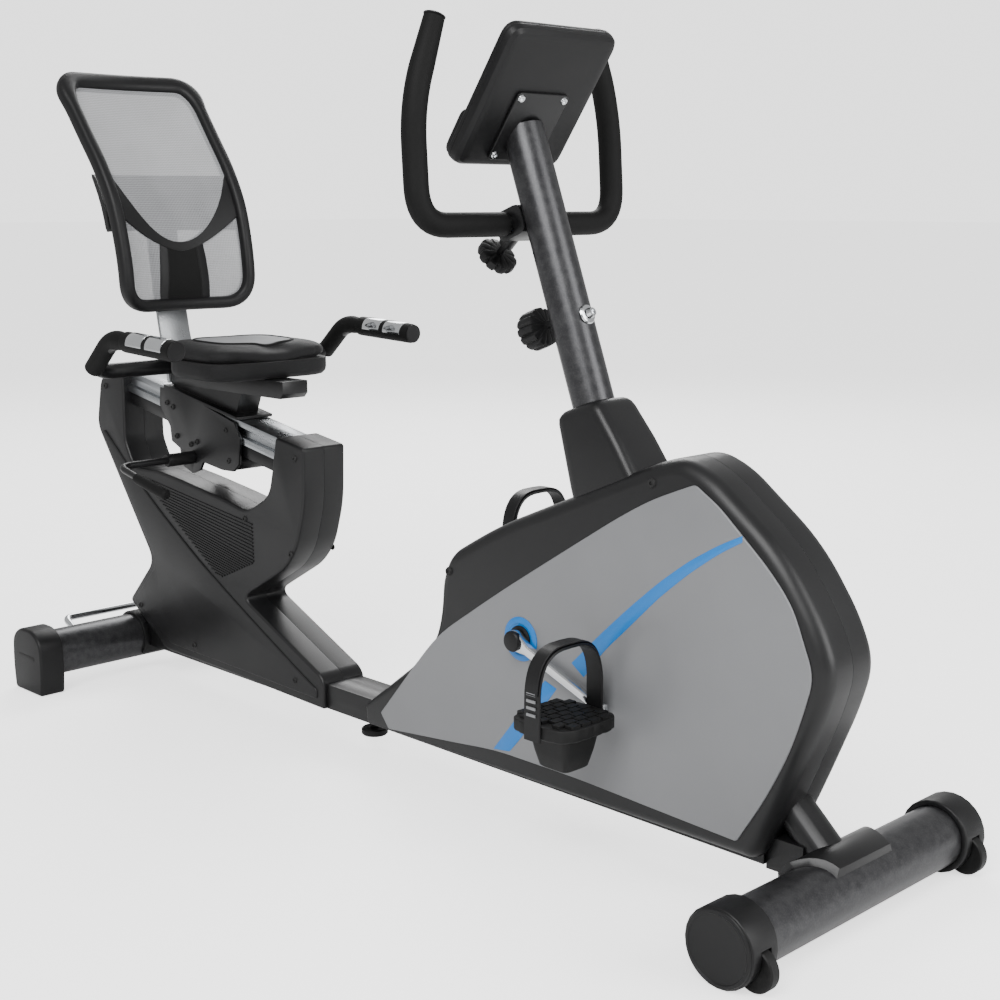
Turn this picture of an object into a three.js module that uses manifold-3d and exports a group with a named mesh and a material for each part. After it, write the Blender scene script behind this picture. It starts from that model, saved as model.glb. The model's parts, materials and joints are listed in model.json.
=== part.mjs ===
// Recumbent exercise bike, built from separate named pieces.
// Millimetres, +X to the front, +Y to the rider's left, +Z up. The origin is on the floor, under the
// middle of the whole bike. Places are worked out in the bike's own frame first, where x = 0 is just
// ahead of the front stabiliser, and the whole bike is shifted to its origin at the end.
import * as THREE from "three";
import { mergeVertices } from "three/addons/utils/BufferGeometryUtils.js";
import Module from "manifold-3d";

const wasm = await Module();
wasm.setup();

// ---------------------------------------------------------------- driving dimensions
const GAP = 0.3; // left between pieces that touch
const RUNNING = 0.1; // radial clearance of a shaft in its hole

const stabiliser = { radius: 40, wall: 2.5 };
const front = { x: -17, z: 47, half: 208, capRadius: 48, capHalf: 247, capInner: 200 };
const rear = { x: -1533, z: 63, half: 223, capHalf: 258, capInner: 213, footHalf: 42 };
const wheel = { radius: 26.5, width: 15, x: 18, z: 28, pin: 4, slot: 18, slotInner: 214 };
const carryHandle = { radius: 6, half: 142, x: -1602, z: 100 };

const strut = 6; // half thickness of the two plates under the seat rail
const beam = { half: 35, low: 51, high: 91, wall: 3, back: -1500, fore: -112 };
const foot = { x: -893, radius: 21, screw: 6, low: 19, disc: 11, top: 78 };
const stub = { radius: 25, from: [-165, 186], to: [-30, 62] };
const saddle = { thick: 9, half: 78 };

const shroud = { half: 52, wall: 3, edge: 18 };
const rearShroud = { half: 42, wall: 3, edge: 6 };
const panel = { thick: 2.4, ring: 31 };

const mast = { x: -449, z: 633, lean: 20.45, radius: 28.5, wall: 2.5, low: -205, high: 345 };
const socket = { wall: 3.2, low: -214, high: -60 };
const boot = { low: -178, high: -46, baseX: 60, baseY: 43, top: 39 };
const plate = { thick: 4, half: 48, low: -48, high: 55 };

const bar = {
  x: -568,
  z: 820,
  half: 186,
  radius: 12.7,
  foam: 16.5,
  bend: 48,
  middle: 34,
  tipX: -578,
  tipZ: 1077,
  tipHalf: 148,
};
const barClamp = { half: 27, reach: 67, tall: 20, boss: 11, bossReach: 40 };
const clampKnob = { radius: 29, from: 55, to: 71, stem: 5, tilt: 43.4 };
const tensionKnob = { along: 74, radius: 27.5, from: 46, to: 81, stem: 6, inside: 20 };

const consoleBox = { x: -559, z: 946, lean: 35.45, deep: 16, wall: 2.6, edge: 9, face: 8, block: 8 };
const display = { half: 62, low: 30, high: 112, deep: 3 };
const button = { radius: 8, across: 34, height: -12, deep: 5, proud: 2.5 };

const crank = { x: -512, z: 261, length: 169.4, angle: -21.1, axle: 10, armY: 60, arm: 12, end: 76 };
const pedal = { spindle: 6, inner: 80, outer: 192, halfX: 52, top: 12, low: -10, drop: -60 };
const strap = { width: 28, thick: 3, height: 102 };
const pulley = { radius: 108, width: 14, y: 18, belt: 12, beltThick: 3 };
const flywheel = { x: -192, z: 290, radius: 105, half: 13, axle: 8, pulley: 13.5 };

const rail = { x: -1300, z: 512, tilt: 9.8, half: 30, high: 38, back: -240, fore: 240, groove: 6 };
const railBeam = { half: 25, low: -60, back: -284, fore: 238 };
const carriage = { inner: 31, outer: 36, cover: 1, coverTop: 6 };
const roller = { radius: 15, b: -75.3, fore: 94.5, back: -61, pin: 4, half: 28 };
const lever = { x: -1326, z: 418, radius: 6, boss: 11, bossOut: 90, out: 180, gripX: -1180, gripZ: 391 };
const seatBar = { half: 25, low: 538, high: 566, back: -1400, fore: -1080 };
const seat = { back: -1322, fore: -1116, half: 124, panBack: -1290, split: 595, high: 627, corner: 55 };
const armrest = {
  x: -1306,
  z: 580,
  radius: 12.7,
  half: 235,
  riseX: -1240,
  riseZ: 638,
  endX: -1062,
  endZ: 630,
};
const grip = { radius: 16.5, from: -1196, cap: 3 };

const back = { half: 127, rim: 11, low: 676, high: 1058, corner: 42, sheet: 2, slab: 8 };
const bracket = { half: 30, thick: 6 };

// ---------------------------------------------------------------- finishes
const finish = (color, roughness, metalness) => () =>
  new THREE.MeshStandardMaterial({ color, roughness, metalness });
const blackSteel = finish(0x242526, 0.5, 0.4);
const greySteel = finish(0x5b5c5e, 0.42, 0.6);
const blackPlastic = finish(0x2a2a2b, 0.5, 0);
const greyPlastic = finish(0x88898b, 0.45, 0);
const chrome = finish(0xd8dadc, 0.15, 1);
const aluminium = finish(0xa7abb0, 0.35, 0.9);
const castIron = finish(0x4a4a4a, 0.6, 0.7);
const foam = finish(0x1a1a1a, 0.85, 0);
const cloth = finish(0x2c2c2d, 0.9, 0);
const glass = finish(0x1b2226, 0.1, 0);

// ---------------------------------------------------------------- making and joining solids
const rad = THREE.MathUtils.degToRad;

// Signed volume of a triangle mesh: negative where the faces point inwards.
function signedVolume(geometry) {
  const p = geometry.attributes.position;
  const at = (i) => new THREE.Vector3().fromBufferAttribute(p, geometry.index.getX(i));
  let volume = 0;
  for (let i = 0; i < geometry.index.count; i += 3) {
    volume += at(i).dot(at(i + 1).cross(at(i + 2)));
  }
  return volume;
}

// Turns any closed three.js geometry into a manifold solid with its faces outwards.
function solid(geometry) {
  const bare = geometry.clone();
  bare.deleteAttribute("normal");
  bare.deleteAttribute("uv");
  const merged = mergeVertices(bare, 1e-3);
  const triVerts = new Uint32Array(merged.index.array);
  if (signedVolume(merged) < 0) {
    for (let i = 0; i < triVerts.length; i += 3) {
      [triVerts[i + 1], triVerts[i + 2]] = [triVerts[i + 2], triVerts[i + 1]];
    }
  }
  const vertProperties = new Float32Array(merged.attributes.position.array);
  return new wasm.Manifold(new wasm.Mesh({ numProp: 3, vertProperties, triVerts }));
}

const join = (...solids) => solids.reduce((sum, next) => sum.add(next));
const cut = (body, ...tools) => tools.reduce((left, tool) => left.subtract(tool), body);

function geometryOf(body) {
  const mesh = body.getMesh();
  const geometry = new THREE.BufferGeometry();
  geometry.setAttribute("position", new THREE.BufferAttribute(mesh.vertProperties, 3));
  geometry.setIndex(new THREE.BufferAttribute(mesh.triVerts, 1));
  const flat = geometry.toNonIndexed();
  flat.computeVertexNormals();
  return flat;
}

const bike = new THREE.Group();
function piece(name, body, material) {
  const mesh = new THREE.Mesh(geometryOf(body), material());
  mesh.name = name;
  bike.add(mesh);
}

// ---------------------------------------------------------------- basic shapes
const v3 = (x, y, z) => new THREE.Vector3(x, y, z);

function box(x0, x1, y0, y1, z0, z1) {
  const geometry = new THREE.BoxGeometry(x1 - x0, y1 - y0, z1 - z0);
  return solid(geometry.translate((x0 + x1) / 2, (y0 + y1) / 2, (z0 + z1) / 2));
}

// A cylinder along Y.
function rodY(x, z, radius, y0, y1, sides = 24) {
  const geometry = new THREE.CylinderGeometry(radius, radius, y1 - y0, sides);
  return solid(geometry.translate(x, (y0 + y1) / 2, z));
}

// A cylinder between two points.
function rod(from, to, radius, sides = 24, endRadius = radius) {
  const axis = to.clone().sub(from);
  const geometry = new THREE.CylinderGeometry(endRadius, radius, axis.length(), sides);
  const turn = new THREE.Quaternion().setFromUnitVectors(v3(0, 1, 0), axis.normalize());
  geometry.applyQuaternion(turn);
  const middle = from.clone().add(to).multiplyScalar(0.5);
  return solid(geometry.translate(middle.x, middle.y, middle.z));
}

// The radius that a hole's corners need so that its flats clear a round shaft.
const holeFor = (radius, sides = 24) => (radius + RUNNING) / Math.cos(Math.PI / sides);

function shapeOf(points, corner = 0) {
  const shape = new THREE.Shape();
  points.forEach(([x, y, own = corner], i) => {
    const here = new THREE.Vector2(x, y);
    const before = new THREE.Vector2(...points[(i + points.length - 1) % points.length]);
    const after = new THREE.Vector2(...points[(i + 1) % points.length]);
    const reach = Math.min(own, here.distanceTo(before) / 2, here.distanceTo(after) / 2);
    const enter = here.clone().add(before.sub(here).setLength(reach));
    const leave = here.clone().add(after.sub(here).setLength(reach));
    if (i === 0) shape.moveTo(enter.x, enter.y);
    else shape.lineTo(enter.x, enter.y);
    if (reach > 0) shape.quadraticCurveTo(here.x, here.y, leave.x, leave.y);
  });
  shape.closePath();
  return shape;
}

// The corner points of an outline with its corners rounded.
function rounded(points, corner, steps = 3) {
  const list = shapeOf(points, corner).extractPoints(steps).shape.map((p) => [p.x, p.y]);
  return list.filter(([x, y], i) => {
    const [px, py] = list[(i + list.length - 1) % list.length];
    return Math.hypot(x - px, y - py) > 1;
  });
}

// An outline in X and Z, drawn out along Y.
function alongY(points, y0, y1, holes = []) {
  const shape = shapeOf(points);
  shape.holes = holes.map((hole) => shapeOf(hole));
  const geometry = new THREE.ExtrudeGeometry(shape, { depth: y1 - y0, bevelEnabled: false });
  return solid(geometry.rotateX(Math.PI / 2).translate(0, y1, 0));
}

// An outline in X and Y, drawn up along Z.

// An outline in Y and Z, drawn out along X.
function alongX(points, x0, x1) {
  const geometry = new THREE.ExtrudeGeometry(shapeOf(points), { depth: x1 - x0, bevelEnabled: false });
  const turn = new THREE.Matrix4().makeBasis(v3(0, 1, 0), v3(0, 0, 1), v3(1, 0, 0));
  return solid(geometry.applyMatrix4(turn).translate(x0, 0, 0));
}

function circle(x, z, radius, sides = 24) {
  const points = [];
  for (let i = 0; i < sides; i += 1) {
    const a = (2 * Math.PI * i) / sides;
    points.push([x + radius * Math.cos(a), z + radius * Math.sin(a)]);
  }
  return points;
}

// Moves every side of an outline inwards by a distance, keeping its corners.
function inset(points, distance) {
  const turn = Math.sign(THREE.ShapeUtils.area(points.map(([x, y]) => new THREE.Vector2(x, y))));
  return points.map(([x, y], i) => {
    const [px, py] = points[(i + points.length - 1) % points.length];
    const [nx, ny] = points[(i + 1) % points.length];
    const before = new THREE.Vector2(x - px, y - py).normalize();
    const after = new THREE.Vector2(nx - x, ny - y).normalize();
    const normal = new THREE.Vector2(-before.y - after.y, before.x + after.x).normalize();
    const spread = Math.max(0.45, normal.dot(new THREE.Vector2(-before.y, before.x)));
    const step = (distance * turn) / spread;
    return [x + normal.x * step, y + normal.y * step];
  });
}

// Two directions that lie in a ring's own plane, right-handed with the ring's own turn.
function flatAxes(ring) {
  const normal = v3(0, 0, 0);
  ring.forEach((p, i) => {
    const next = ring[(i + 1) % ring.length];
    normal.add(p.clone().sub(ring[0]).cross(next.clone().sub(ring[0])));
  });
  normal.normalize();
  const start = Math.abs(normal.z) < 0.9 ? v3(0, 0, 1) : v3(1, 0, 0);
  const u = start.cross(normal).normalize();
  return [u, normal.clone().cross(u)];
}

// Skins a row of rings with equal numbers of points, as a closed loop or with a cap on each end.
function loft(rings, loop = false) {
  const count = rings[0].length;
  const index = [];
  const rows = loop ? rings.length : rings.length - 1;
  for (let r = 0; r < rows; r += 1) {
    const next = (r + 1) % rings.length;
    for (let i = 0; i < count; i += 1) {
      const j = (i + 1) % count;
      const [a, b, c, d] = [r * count + i, r * count + j, next * count + j, next * count + i];
      index.push(a, b, c, a, c, d);
    }
  }
  for (const [r, forward] of loop ? [] : [[0, false], [rings.length - 1, true]]) {
    const [u, v] = flatAxes(rings[r]);
    const flat = rings[r].map((p) => new THREE.Vector2(p.dot(u), p.dot(v)));
    for (const corners of THREE.ShapeUtils.triangulateShape(flat, [])) {
      const face = corners.map((n) => r * count + n);
      index.push(...(forward ? face : face.reverse()));
    }
  }
  const positions = rings.flat().flatMap((p) => [p.x, p.y, p.z]);
  const geometry = new THREE.BufferGeometry();
  geometry.setAttribute("position", new THREE.Float32BufferAttribute(positions, 3));
  geometry.setIndex(index);
  return solid(geometry);
}

// A plate whose outline shrinks towards its faces, so that the edges are rounded.
function pillow(points, low, high, place, lowEdge, highEdge, steps = 3) {
  const ringAt = (face, edge, s) => {
    const a = (s / steps) * (Math.PI / 2);
    const depth = face + edge * (1 - Math.sin(a));
    return inset(points, Math.abs(edge) * (1 - Math.cos(a))).map(([x, y]) => place(x, y, depth));
  };
  const rings = [];
  for (let s = steps; s >= 0; s -= 1) rings.push(ringAt(low, lowEdge, s));
  for (let s = 0; s <= steps; s += 1) rings.push(ringAt(high, -highEdge, s));
  return loft(rings);
}

const onSide = (x, z, depth) => v3(x, depth, z);
const onTop = (x, y, depth) => v3(x, y, depth);

// A path of straight runs with rounded bends.
function bentPath(points, radius) {
  const path = new THREE.CurvePath();
  let from = points[0];
  for (let i = 1; i < points.length - 1; i += 1) {
    const here = points[i];
    const reach = Math.min(radius, here.distanceTo(points[i - 1]) / 2, here.distanceTo(points[i + 1]) / 2);
    const enter = here.clone().add(points[i - 1].clone().sub(here).setLength(reach));
    const leave = here.clone().add(points[i + 1].clone().sub(here).setLength(reach));
    path.add(new THREE.LineCurve3(from, enter));
    path.add(new THREE.QuadraticBezierCurve3(enter, here, leave));
    from = leave;
  }
  path.add(new THREE.LineCurve3(from, points[points.length - 1]));
  return path;
}

// A round bar along a path, with a ring at each end of a straight run and several in each bend.
function bentRod(points, radius, bend, sides = 12, bendSteps = 5) {
  const path = bentPath(points, bend);
  const spots = [path.curves[0].getPoint(0)];
  path.curves.forEach((curve) => {
    const steps = curve.isLineCurve3 ? 1 : bendSteps;
    for (let s = 1; s <= steps; s += 1) spots.push(curve.getPoint(s / steps));
  });
  let side = null;
  const rings = spots.map((spot, i) => {
    const ahead = spots[Math.min(i + 1, spots.length - 1)];
    const behind = spots[Math.max(i - 1, 0)];
    const tangent = ahead.clone().sub(behind).normalize();
    if (!side) side = Math.abs(tangent.y) < 0.9 ? v3(0, 1, 0) : v3(1, 0, 0);
    side = side.clone().addScaledVector(tangent, -side.dot(tangent)).normalize();
    const up = tangent.clone().cross(side);
    const ring = [];
    for (let k = 0; k < sides; k += 1) {
      const a = (2 * Math.PI * k) / sides;
      ring.push(
        spot
          .clone()
          .addScaledVector(side, radius * Math.cos(a))
          .addScaledVector(up, radius * Math.sin(a)),
      );
    }
    return ring;
  });
  return loft(rings);
}

// The outline of a strip of even thickness along a run of points.
function ribbon(points, thick) {
  const sideOf = (offset) =>
    points.map(([x, y], i) => {
      const [px, py] = points[Math.max(i - 1, 0)];
      const [nx, ny] = points[Math.min(i + 1, points.length - 1)];
      const along = new THREE.Vector2(nx - px, ny - py).normalize();
      return [x - along.y * offset, y + along.x * offset];
    });
  return [...sideOf(thick / 2), ...sideOf(-thick / 2).reverse()];
}

// A solid of revolution about Y, from a profile of [radius, y] points that closes on itself.
function turned(profile, x, z, sides = 32) {
  const points = [...profile, profile[0]].map(([r, y]) => new THREE.Vector2(r, y));
  return solid(new THREE.LatheGeometry(points, sides).translate(x, 0, z));
}

// ---------------------------------------------------------------- frames of the leaning parts
function leanFrame(x, z, angle) {
  return new THREE.Matrix4().makeRotationY(rad(angle)).setPosition(x, 0, z);
}
const mastFrame = leanFrame(mast.x, mast.z, -mast.lean);
const consoleFrame = leanFrame(consoleBox.x, consoleBox.z, consoleBox.lean);
const railFrame = leanFrame(rail.x, rail.z, rail.tilt);
const inFrame = (frame) => (x, y, z) => v3(x, y, z).applyMatrix4(frame);
const onMast = inFrame(mastFrame);
const onConsole = inFrame(consoleFrame);
const onRail = inFrame(railFrame);
const placed = (body, frame) => body.transform(frame.toArray());

const SIDES = [["right", -1], ["left", 1]];

// The same band along Y on either side of the middle: side is -1 on the right and 1 on the left.
const band = (side, inner, outer) => (side < 0 ? [-outer, -inner] : [inner, outer]);

// ---------------------------------------------------------------- frame
const beamBox = (grow) =>
  box(
    beam.back - 40,
    beam.fore + grow,
    -beam.half - grow,
    beam.half + grow,
    beam.low - grow,
    beam.high + grow,
  );

function beamTube() {
  const outer = box(beam.back, beam.fore, -beam.half, beam.half, beam.low, beam.high);
  const w = beam.wall;
  const hollow = box(
    beam.back - 1,
    beam.fore + 1,
    -beam.half + w,
    beam.half - w,
    beam.low + w,
    beam.high - w,
  );
  const footHole = rod(v3(foot.x, 0, 40), v3(foot.x, 0, 60), holeFor(foot.screw, 24));
  return cut(outer, hollow, footHole);
}

const stubRod = (radius) => {
  const [from, to] = [stub.from, stub.to].map(([x, z]) => v3(x, 0, z));
  return rod(from, to, radius, 24);
};

// The saddle wraps the upper rear half of the front tube and tapers towards both ends.
function frontSaddle() {
  const { half, thick } = saddle;
  const ring = rodY(front.x, front.z, stabiliser.radius + thick, -half, half, 36);
  const taper = [
    [-half, -12],
    [-half, 12],
    [-half + 26, 50],
    [half - 26, 50],
    [half, 12],
    [half, -12],
    [half - 26, -50],
    [-half + 26, -50],
  ];
  const keep = alongX(taper, -90, 20).transform(
    new THREE.Matrix4().makeRotationY(rad(42)).setPosition(front.x, 0, front.z).toArray(),
  );
  const block = box(-113, -60, -28, 28, 44, 86);
  const back = box(-120, front.x + 26, -100, 100, -20, 120);
  return join(ring.intersect(keep).intersect(back), block);
}

const mastPost = () =>
  alongY(
    [
      [-372, 85],
      [-318, 85],
      [-352, 446],
      [-402, 446],
    ],
    -14,
    14,
  );

// A plate on each side of the flywheel holds its axle; the left one stands outside the belt.
function flywheelArms() {
  const arm = [
    [flywheel.x - 30, 85],
    [flywheel.x + 30, 85],
    [flywheel.x + 14, 296],
    [flywheel.x + 6, 306],
    [flywheel.x - 6, 306],
    [flywheel.x - 14, 296],
  ];
  const hole = circle(flywheel.x, flywheel.z, holeFor(flywheel.axle));
  const right = alongY(arm, -28, -22, [hole]);
  const left = alongY(arm, 37, 42, [hole]);
  const tab = box(flywheel.x - 30, flywheel.x + 30, 20, 42, 85, 104);
  return join(right, left, tab);
}

function crankHousing() {
  const strut = box(crank.x + 12, -345, -13, 13, crank.z - 18, crank.z + 18);
  const tube = rodY(crank.x, crank.z, 24, -40, 14);
  const bore = rodY(crank.x, crank.z, holeFor(crank.axle), -60, 60);
  return cut(join(strut, tube), bore);
}

// Two bent plates carry the seat rail inside the rear shroud.
function rearStruts() {
  const fore = [
    [-1290, 85],
    [-1200, 85],
    [-1210, 240],
    [-1064, 356],
    [-1044, 426],
    [-1078, 428],
    [-1084, 400],
    [-1096, 368],
    [-1155, 318],
    [-1290, 290],
  ];
  const aft = [
    [-1290, 190],
    [-1400, 230],
    [-1468, 275],
    [-1588, 432],
    [-1588, 508],
    [-1548, 508],
    [-1548, 425],
    [-1505, 366],
    [-1400, 358],
    [-1290, 330],
  ];
  return join(alongY(fore, -strut, strut), alongY(aft, -strut, strut));
}

const railBeamBox = () =>
  placed(
    box(
      railBeam.back,
      railBeam.fore,
      -railBeam.half,
      railBeam.half,
      railBeam.low,
      -rail.high - GAP,
    ),
    railFrame,
  );

function addMainFrame() {
  const socketRod = (radius, low, high) => rod(onMast(0, 0, low), onMast(0, 0, high), radius, 24);
  const socketOuter = socketRod(mast.radius + GAP + socket.wall, socket.low, socket.high);
  const socketBore = socketRod(holeFor(mast.radius + GAP - RUNNING), mast.low - GAP, socket.high + 1);
  const stubPost = box(-205, -140, -20, 20, 85, 190);
  const body = join(
    beamTube(),
    stubPost,
    stubRod(stub.radius),
    frontSaddle(),
    cut(join(mastPost(), socketOuter), socketBore),
    flywheelArms(),
    crankHousing(),
    rearStruts(),
    railBeamBox(),
  );
  const frontTube = rodY(front.x, front.z, stabiliser.radius + GAP, -300, 300, 36);
  const rearTube = rodY(rear.x, rear.z, stabiliser.radius + GAP, -300, 300, 36);
  const flywheelRoom = rodY(flywheel.x, flywheel.z, flywheel.radius + 5, -18, 18, 36);
  piece("main_frame", cut(body, frontTube, rearTube, flywheelRoom), blackSteel);
}

// ---------------------------------------------------------------- feet
function tubeAlongY({ x, z, half }) {
  const outer = rodY(x, z, stabiliser.radius, -half, half, 36);
  return cut(outer, rodY(x, z, stabiliser.radius - stabiliser.wall, -half - 1, half + 1, 36));
}

function addFrontCap(name, side) {
  const { x, z, capRadius, capHalf, capInner } = front;
  const body = pillow(circle(x, z, capRadius, 24), ...band(side, capInner, capHalf), onSide, 3, 3);
  const bore = rodY(x, z, holeFor(stabiliser.radius + GAP, 36), ...band(side, 150, front.half + GAP));
  const slot = band(side, wheel.slotInner, wheel.slotInner + wheel.slot);
  const well = rodY(wheel.x, wheel.z, wheel.radius + 2.5, ...slot);
  const pin = rodY(wheel.x, wheel.z, wheel.pin, slot[0] - 1, slot[1] + 1, 16);
  const floor = box(x - 80, x + 80, ...band(side, 150, 300), -20, 0);
  piece(`front_cap_${name}`, cut(join(cut(body, bore, well), pin), floor), blackPlastic);
}

function addTransportWheel(name, side) {
  const inner = wheel.slotInner + (wheel.slot - wheel.width) / 2;
  const y = band(side, inner, inner + wheel.width);
  const tyre = pillow(circle(wheel.x, wheel.z, wheel.radius, 24), ...y, onSide, 2, 2, 2);
  const bore = rodY(wheel.x, wheel.z, holeFor(wheel.pin, 16), -300, 300, 16);
  piece(`transport_wheel_${name}`, cut(tyre, bore), blackPlastic);
}

function addRearCap(name, side) {
  const { x, z, footHalf } = rear;
  const outline = [
    [x - footHalf - 4, 0, 12],
    [x + footHalf + 4, 0, 12],
    [x + 51, 46, 22],
    [x + 48, z + 34, 22],
    [x + 22, z + 51, 22],
    [x - 22, z + 51, 22],
    [x - 48, z + 34, 22],
    [x - 51, 46, 22],
  ];
  const y = band(side, rear.capInner, rear.capHalf);
  const edges = side < 0 ? [5, 1.5] : [1.5, 5];
  const body = pillow(rounded(outline, 10), ...y, onSide, ...edges);
  const bore = rodY(x, z, holeFor(stabiliser.radius + GAP, 36), ...band(side, 150, rear.half + GAP));
  const ring = cut(body, bore);
  const sole = alongY(
    [
      [x - footHalf, 0],
      [x + footHalf, 0],
      [x + footHalf, 8],
      [x - footHalf, 8],
    ],
    y[0] + 3,
    y[1] - 3,
  );
  piece(`rear_cap_${name}`, join(ring, sole), blackPlastic);
}

function addRearCover() {
  const inner = stabiliser.radius + GAP;
  const shell = rodY(rear.x, rear.z, inner + 5, -46, 46, 36);
  const upper = box(rear.x - 60, rear.x + 60, -50, 50, rear.z - 28, rear.z + 60);
  const tube = rodY(rear.x, rear.z, holeFor(inner, 36), -60, 60, 36);
  piece("rear_cover", cut(shell.intersect(upper), tube, beamBox(GAP)), blackPlastic);
}

function addCarryHandle() {
  const { half, x, z, radius } = carryHandle;
  const path = [
    v3(rear.x - 20, half, rear.z + 10),
    v3(x, half, z),
    v3(x, -half, z),
    v3(rear.x - 20, -half, rear.z + 10),
  ];
  const tube = rodY(rear.x, rear.z, stabiliser.radius + GAP, -300, 300, 36);
  piece("carry_handle", cut(bentRod(path, radius, 14), tube), chrome);
}

function addLevellingFoot() {
  const disc = rod(v3(foot.x, 0, foot.low), v3(foot.x, 0, foot.low + foot.disc), foot.radius, 24);
  const screw = rod(v3(foot.x, 0, foot.low + 2), v3(foot.x, 0, foot.top), foot.screw);
  piece("levelling_foot", join(disc, screw), blackPlastic);
}

function addFeet() {
  piece("front_stabiliser", tubeAlongY(front), blackSteel);
  piece("rear_stabiliser", tubeAlongY(rear), blackSteel);
  for (const [name, side] of SIDES) {
    addFrontCap(name, side);
    addTransportWheel(name, side);
    addRearCap(name, side);
  }
  addRearCover();
  addCarryHandle();
  addLevellingFoot();
}

// ---------------------------------------------------------------- shrouds
const SHROUD_OUTLINE = [
  [-850, 56],
  [-858, 88],
  [-739, 180],
  [-703, 219],
  [-690, 251],
  [-684, 290],
  [-680, 335],
  [-665, 356],
  [-632, 376],
  [-571, 409],
  [-280, 532],
  [-240, 543],
  [-208, 531],
  [-155, 497],
  [-92, 446],
  [-49, 387],
  [-23, 341],
  [-14, 315],
  [-19, 288],
  [-48, 205],
  [-74, 147],
  [-115, 56],
];

const PANEL_OUTLINE = [
  [-813, 85],
  [-682, 234],
  [-556, 319],
  [-450, 386],
  [-338, 456],
  [-284, 486],
  [-217, 512],
  [-179, 490],
  [-104, 426],
  [-70, 388],
  [-38, 309],
  [-50, 260],
  [-68, 207],
  [-100, 142],
  [-140, 78],
  [-280, 83],
  [-542, 93],
  [-660, 78],
  [-790, 75],
];

const REAR_OUTLINE = [
  [-1630, 446],
  [-1612, 528],
  [-1590, 550],
  [-1545, 556],
  [-1534, 546],
  [-1535, 426],
  [-1508, 380],
  [-1429, 382],
  [-1360, 375],
  [-1226, 357],
  [-1167, 345],
  [-1104, 382],
  [-1094, 424],
  [-1081, 479],
  [-1008, 468],
  [-1010, 375],
  [-1036, 294],
  [-1063, 266],
  [-1184, 197],
  [-977, 105],
  [-969, 50],
  [-1263, 56],
  [-1426, 57],
  [-1542, 129],
  [-1458, 216],
];

const shroudSolid = (shrink) =>
  pillow(
    inset(SHROUD_OUTLINE, shrink),
    -shroud.half + shrink,
    shroud.half - shrink,
    onSide,
    shroud.edge - shrink,
    shroud.edge - shrink,
    4,
  );

function addMainShroud() {
  const shell = cut(
    shroudSolid(0),
    shroudSolid(shroud.wall),
    beamBox(GAP),
    box(-140, 0, -28 - GAP, 28 + GAP, 0, 86 + GAP),
    stubRod(stub.radius + GAP),
    rod(onMast(0, 0, -230), onMast(0, 0, -100), mast.radius + socket.wall + 2 * GAP, 24),
    rodY(crank.x, crank.z, 17, -80, 80),
  );
  for (const [name, side] of SIDES) {
    const half = box(-1000, 100, ...band(side, GAP / 2, 100), 0, 700);
    piece(`main_shroud_${name}`, shell.intersect(half), greyPlastic);
    const face = band(side, shroud.half + GAP, shroud.half + GAP + panel.thick);
    const hole = circle(crank.x, crank.z, panel.ring);
    piece(`side_panel_${name}`, alongY(PANEL_OUTLINE, ...face, [hole]), greyPlastic);
  }
}

function addRearShroud() {
  const solidOf = (shrink) =>
    pillow(
      inset(REAR_OUTLINE, shrink),
      -rearShroud.half + shrink,
      rearShroud.half - shrink,
      onSide,
      rearShroud.edge - shrink,
      rearShroud.edge - shrink,
      2,
    );
  const railRoom = placed(
    box(rail.back - GAP, rail.fore + 20, -rail.half - GAP, rail.half + GAP, railBeam.low - 2, 1),
    railFrame,
  );
  const openings = [beamBox(GAP), railRoom];
  const shell = cut(solidOf(0), solidOf(rearShroud.wall), ...openings);
  for (const [name, side] of SIDES) {
    const half = box(-1700, -900, ...band(side, GAP / 2, 100), 0, 700);
    piece(`rear_shroud_${name}`, shell.intersect(half), blackPlastic);
  }
}

function addMastBoot() {
  const ringAt = (along, x, y, offset) =>
    rounded(
      [
        [offset - x, -y],
        [offset + x, -y],
        [offset + x, y],
        [offset - x, y],
      ],
      16,
    ).map(([a, b]) => onMast(a, b, along));
  const top = boot.top;
  const outer = loft([
    ringAt(boot.low, boot.baseX, boot.baseY, 14),
    ringAt(boot.low + 60, boot.baseX - 8, boot.baseY, 8),
    ringAt(boot.high - 10, top, top, 0),
    ringAt(boot.high, top - 8, top - 8, 0),
  ]);
  const bore = rod(
    onMast(0, 0, boot.low - 60),
    onMast(0, 0, boot.high - 10),
    holeFor(mast.radius + socket.wall + 2 * GAP),
    24,
  );
  const neck = rod(onMast(0, 0, -100), onMast(0, 0, 0), holeFor(mast.radius + GAP), 24);
  const shroudRoom = shroudSolid(0).translate([0, 0, 2 * GAP]);
  piece("mast_boot", cut(outer, bore, neck, shroudRoom), blackPlastic);
}

// ---------------------------------------------------------------- mast and handlebar
const alongMast = (radius, low, high) => rod(onMast(0, 0, low), onMast(0, 0, high), radius, 36);

// The clamp knob's axis runs backwards and down from the middle of the bar.
const knobAxis = v3(-Math.cos(rad(clampKnob.tilt)), 0, -Math.sin(rad(clampKnob.tilt)));
const onKnobAxis = (reach) => v3(bar.x, 0, bar.z).addScaledVector(knobAxis, reach);

function addMast() {
  const { radius, wall, low, high } = mast;
  const tube = cut(alongMast(radius, low, high), alongMast(radius - wall, low - 1, high + 1));
  const end = placed(
    box(GAP, plate.thick, -plate.half, plate.half, plate.low, plate.high),
    consoleFrame,
  );
  const beyond = placed(box(-200, GAP, -200, 200, -200, 200), consoleFrame);
  const stemHole = rod(
    onMast(-60, 0, tensionKnob.along),
    onMast(0, 0, tensionKnob.along),
    holeFor(tensionKnob.stem, 24),
  );
  piece("mast", cut(join(tube, end), beyond, stemHole), blackSteel);
}

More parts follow.
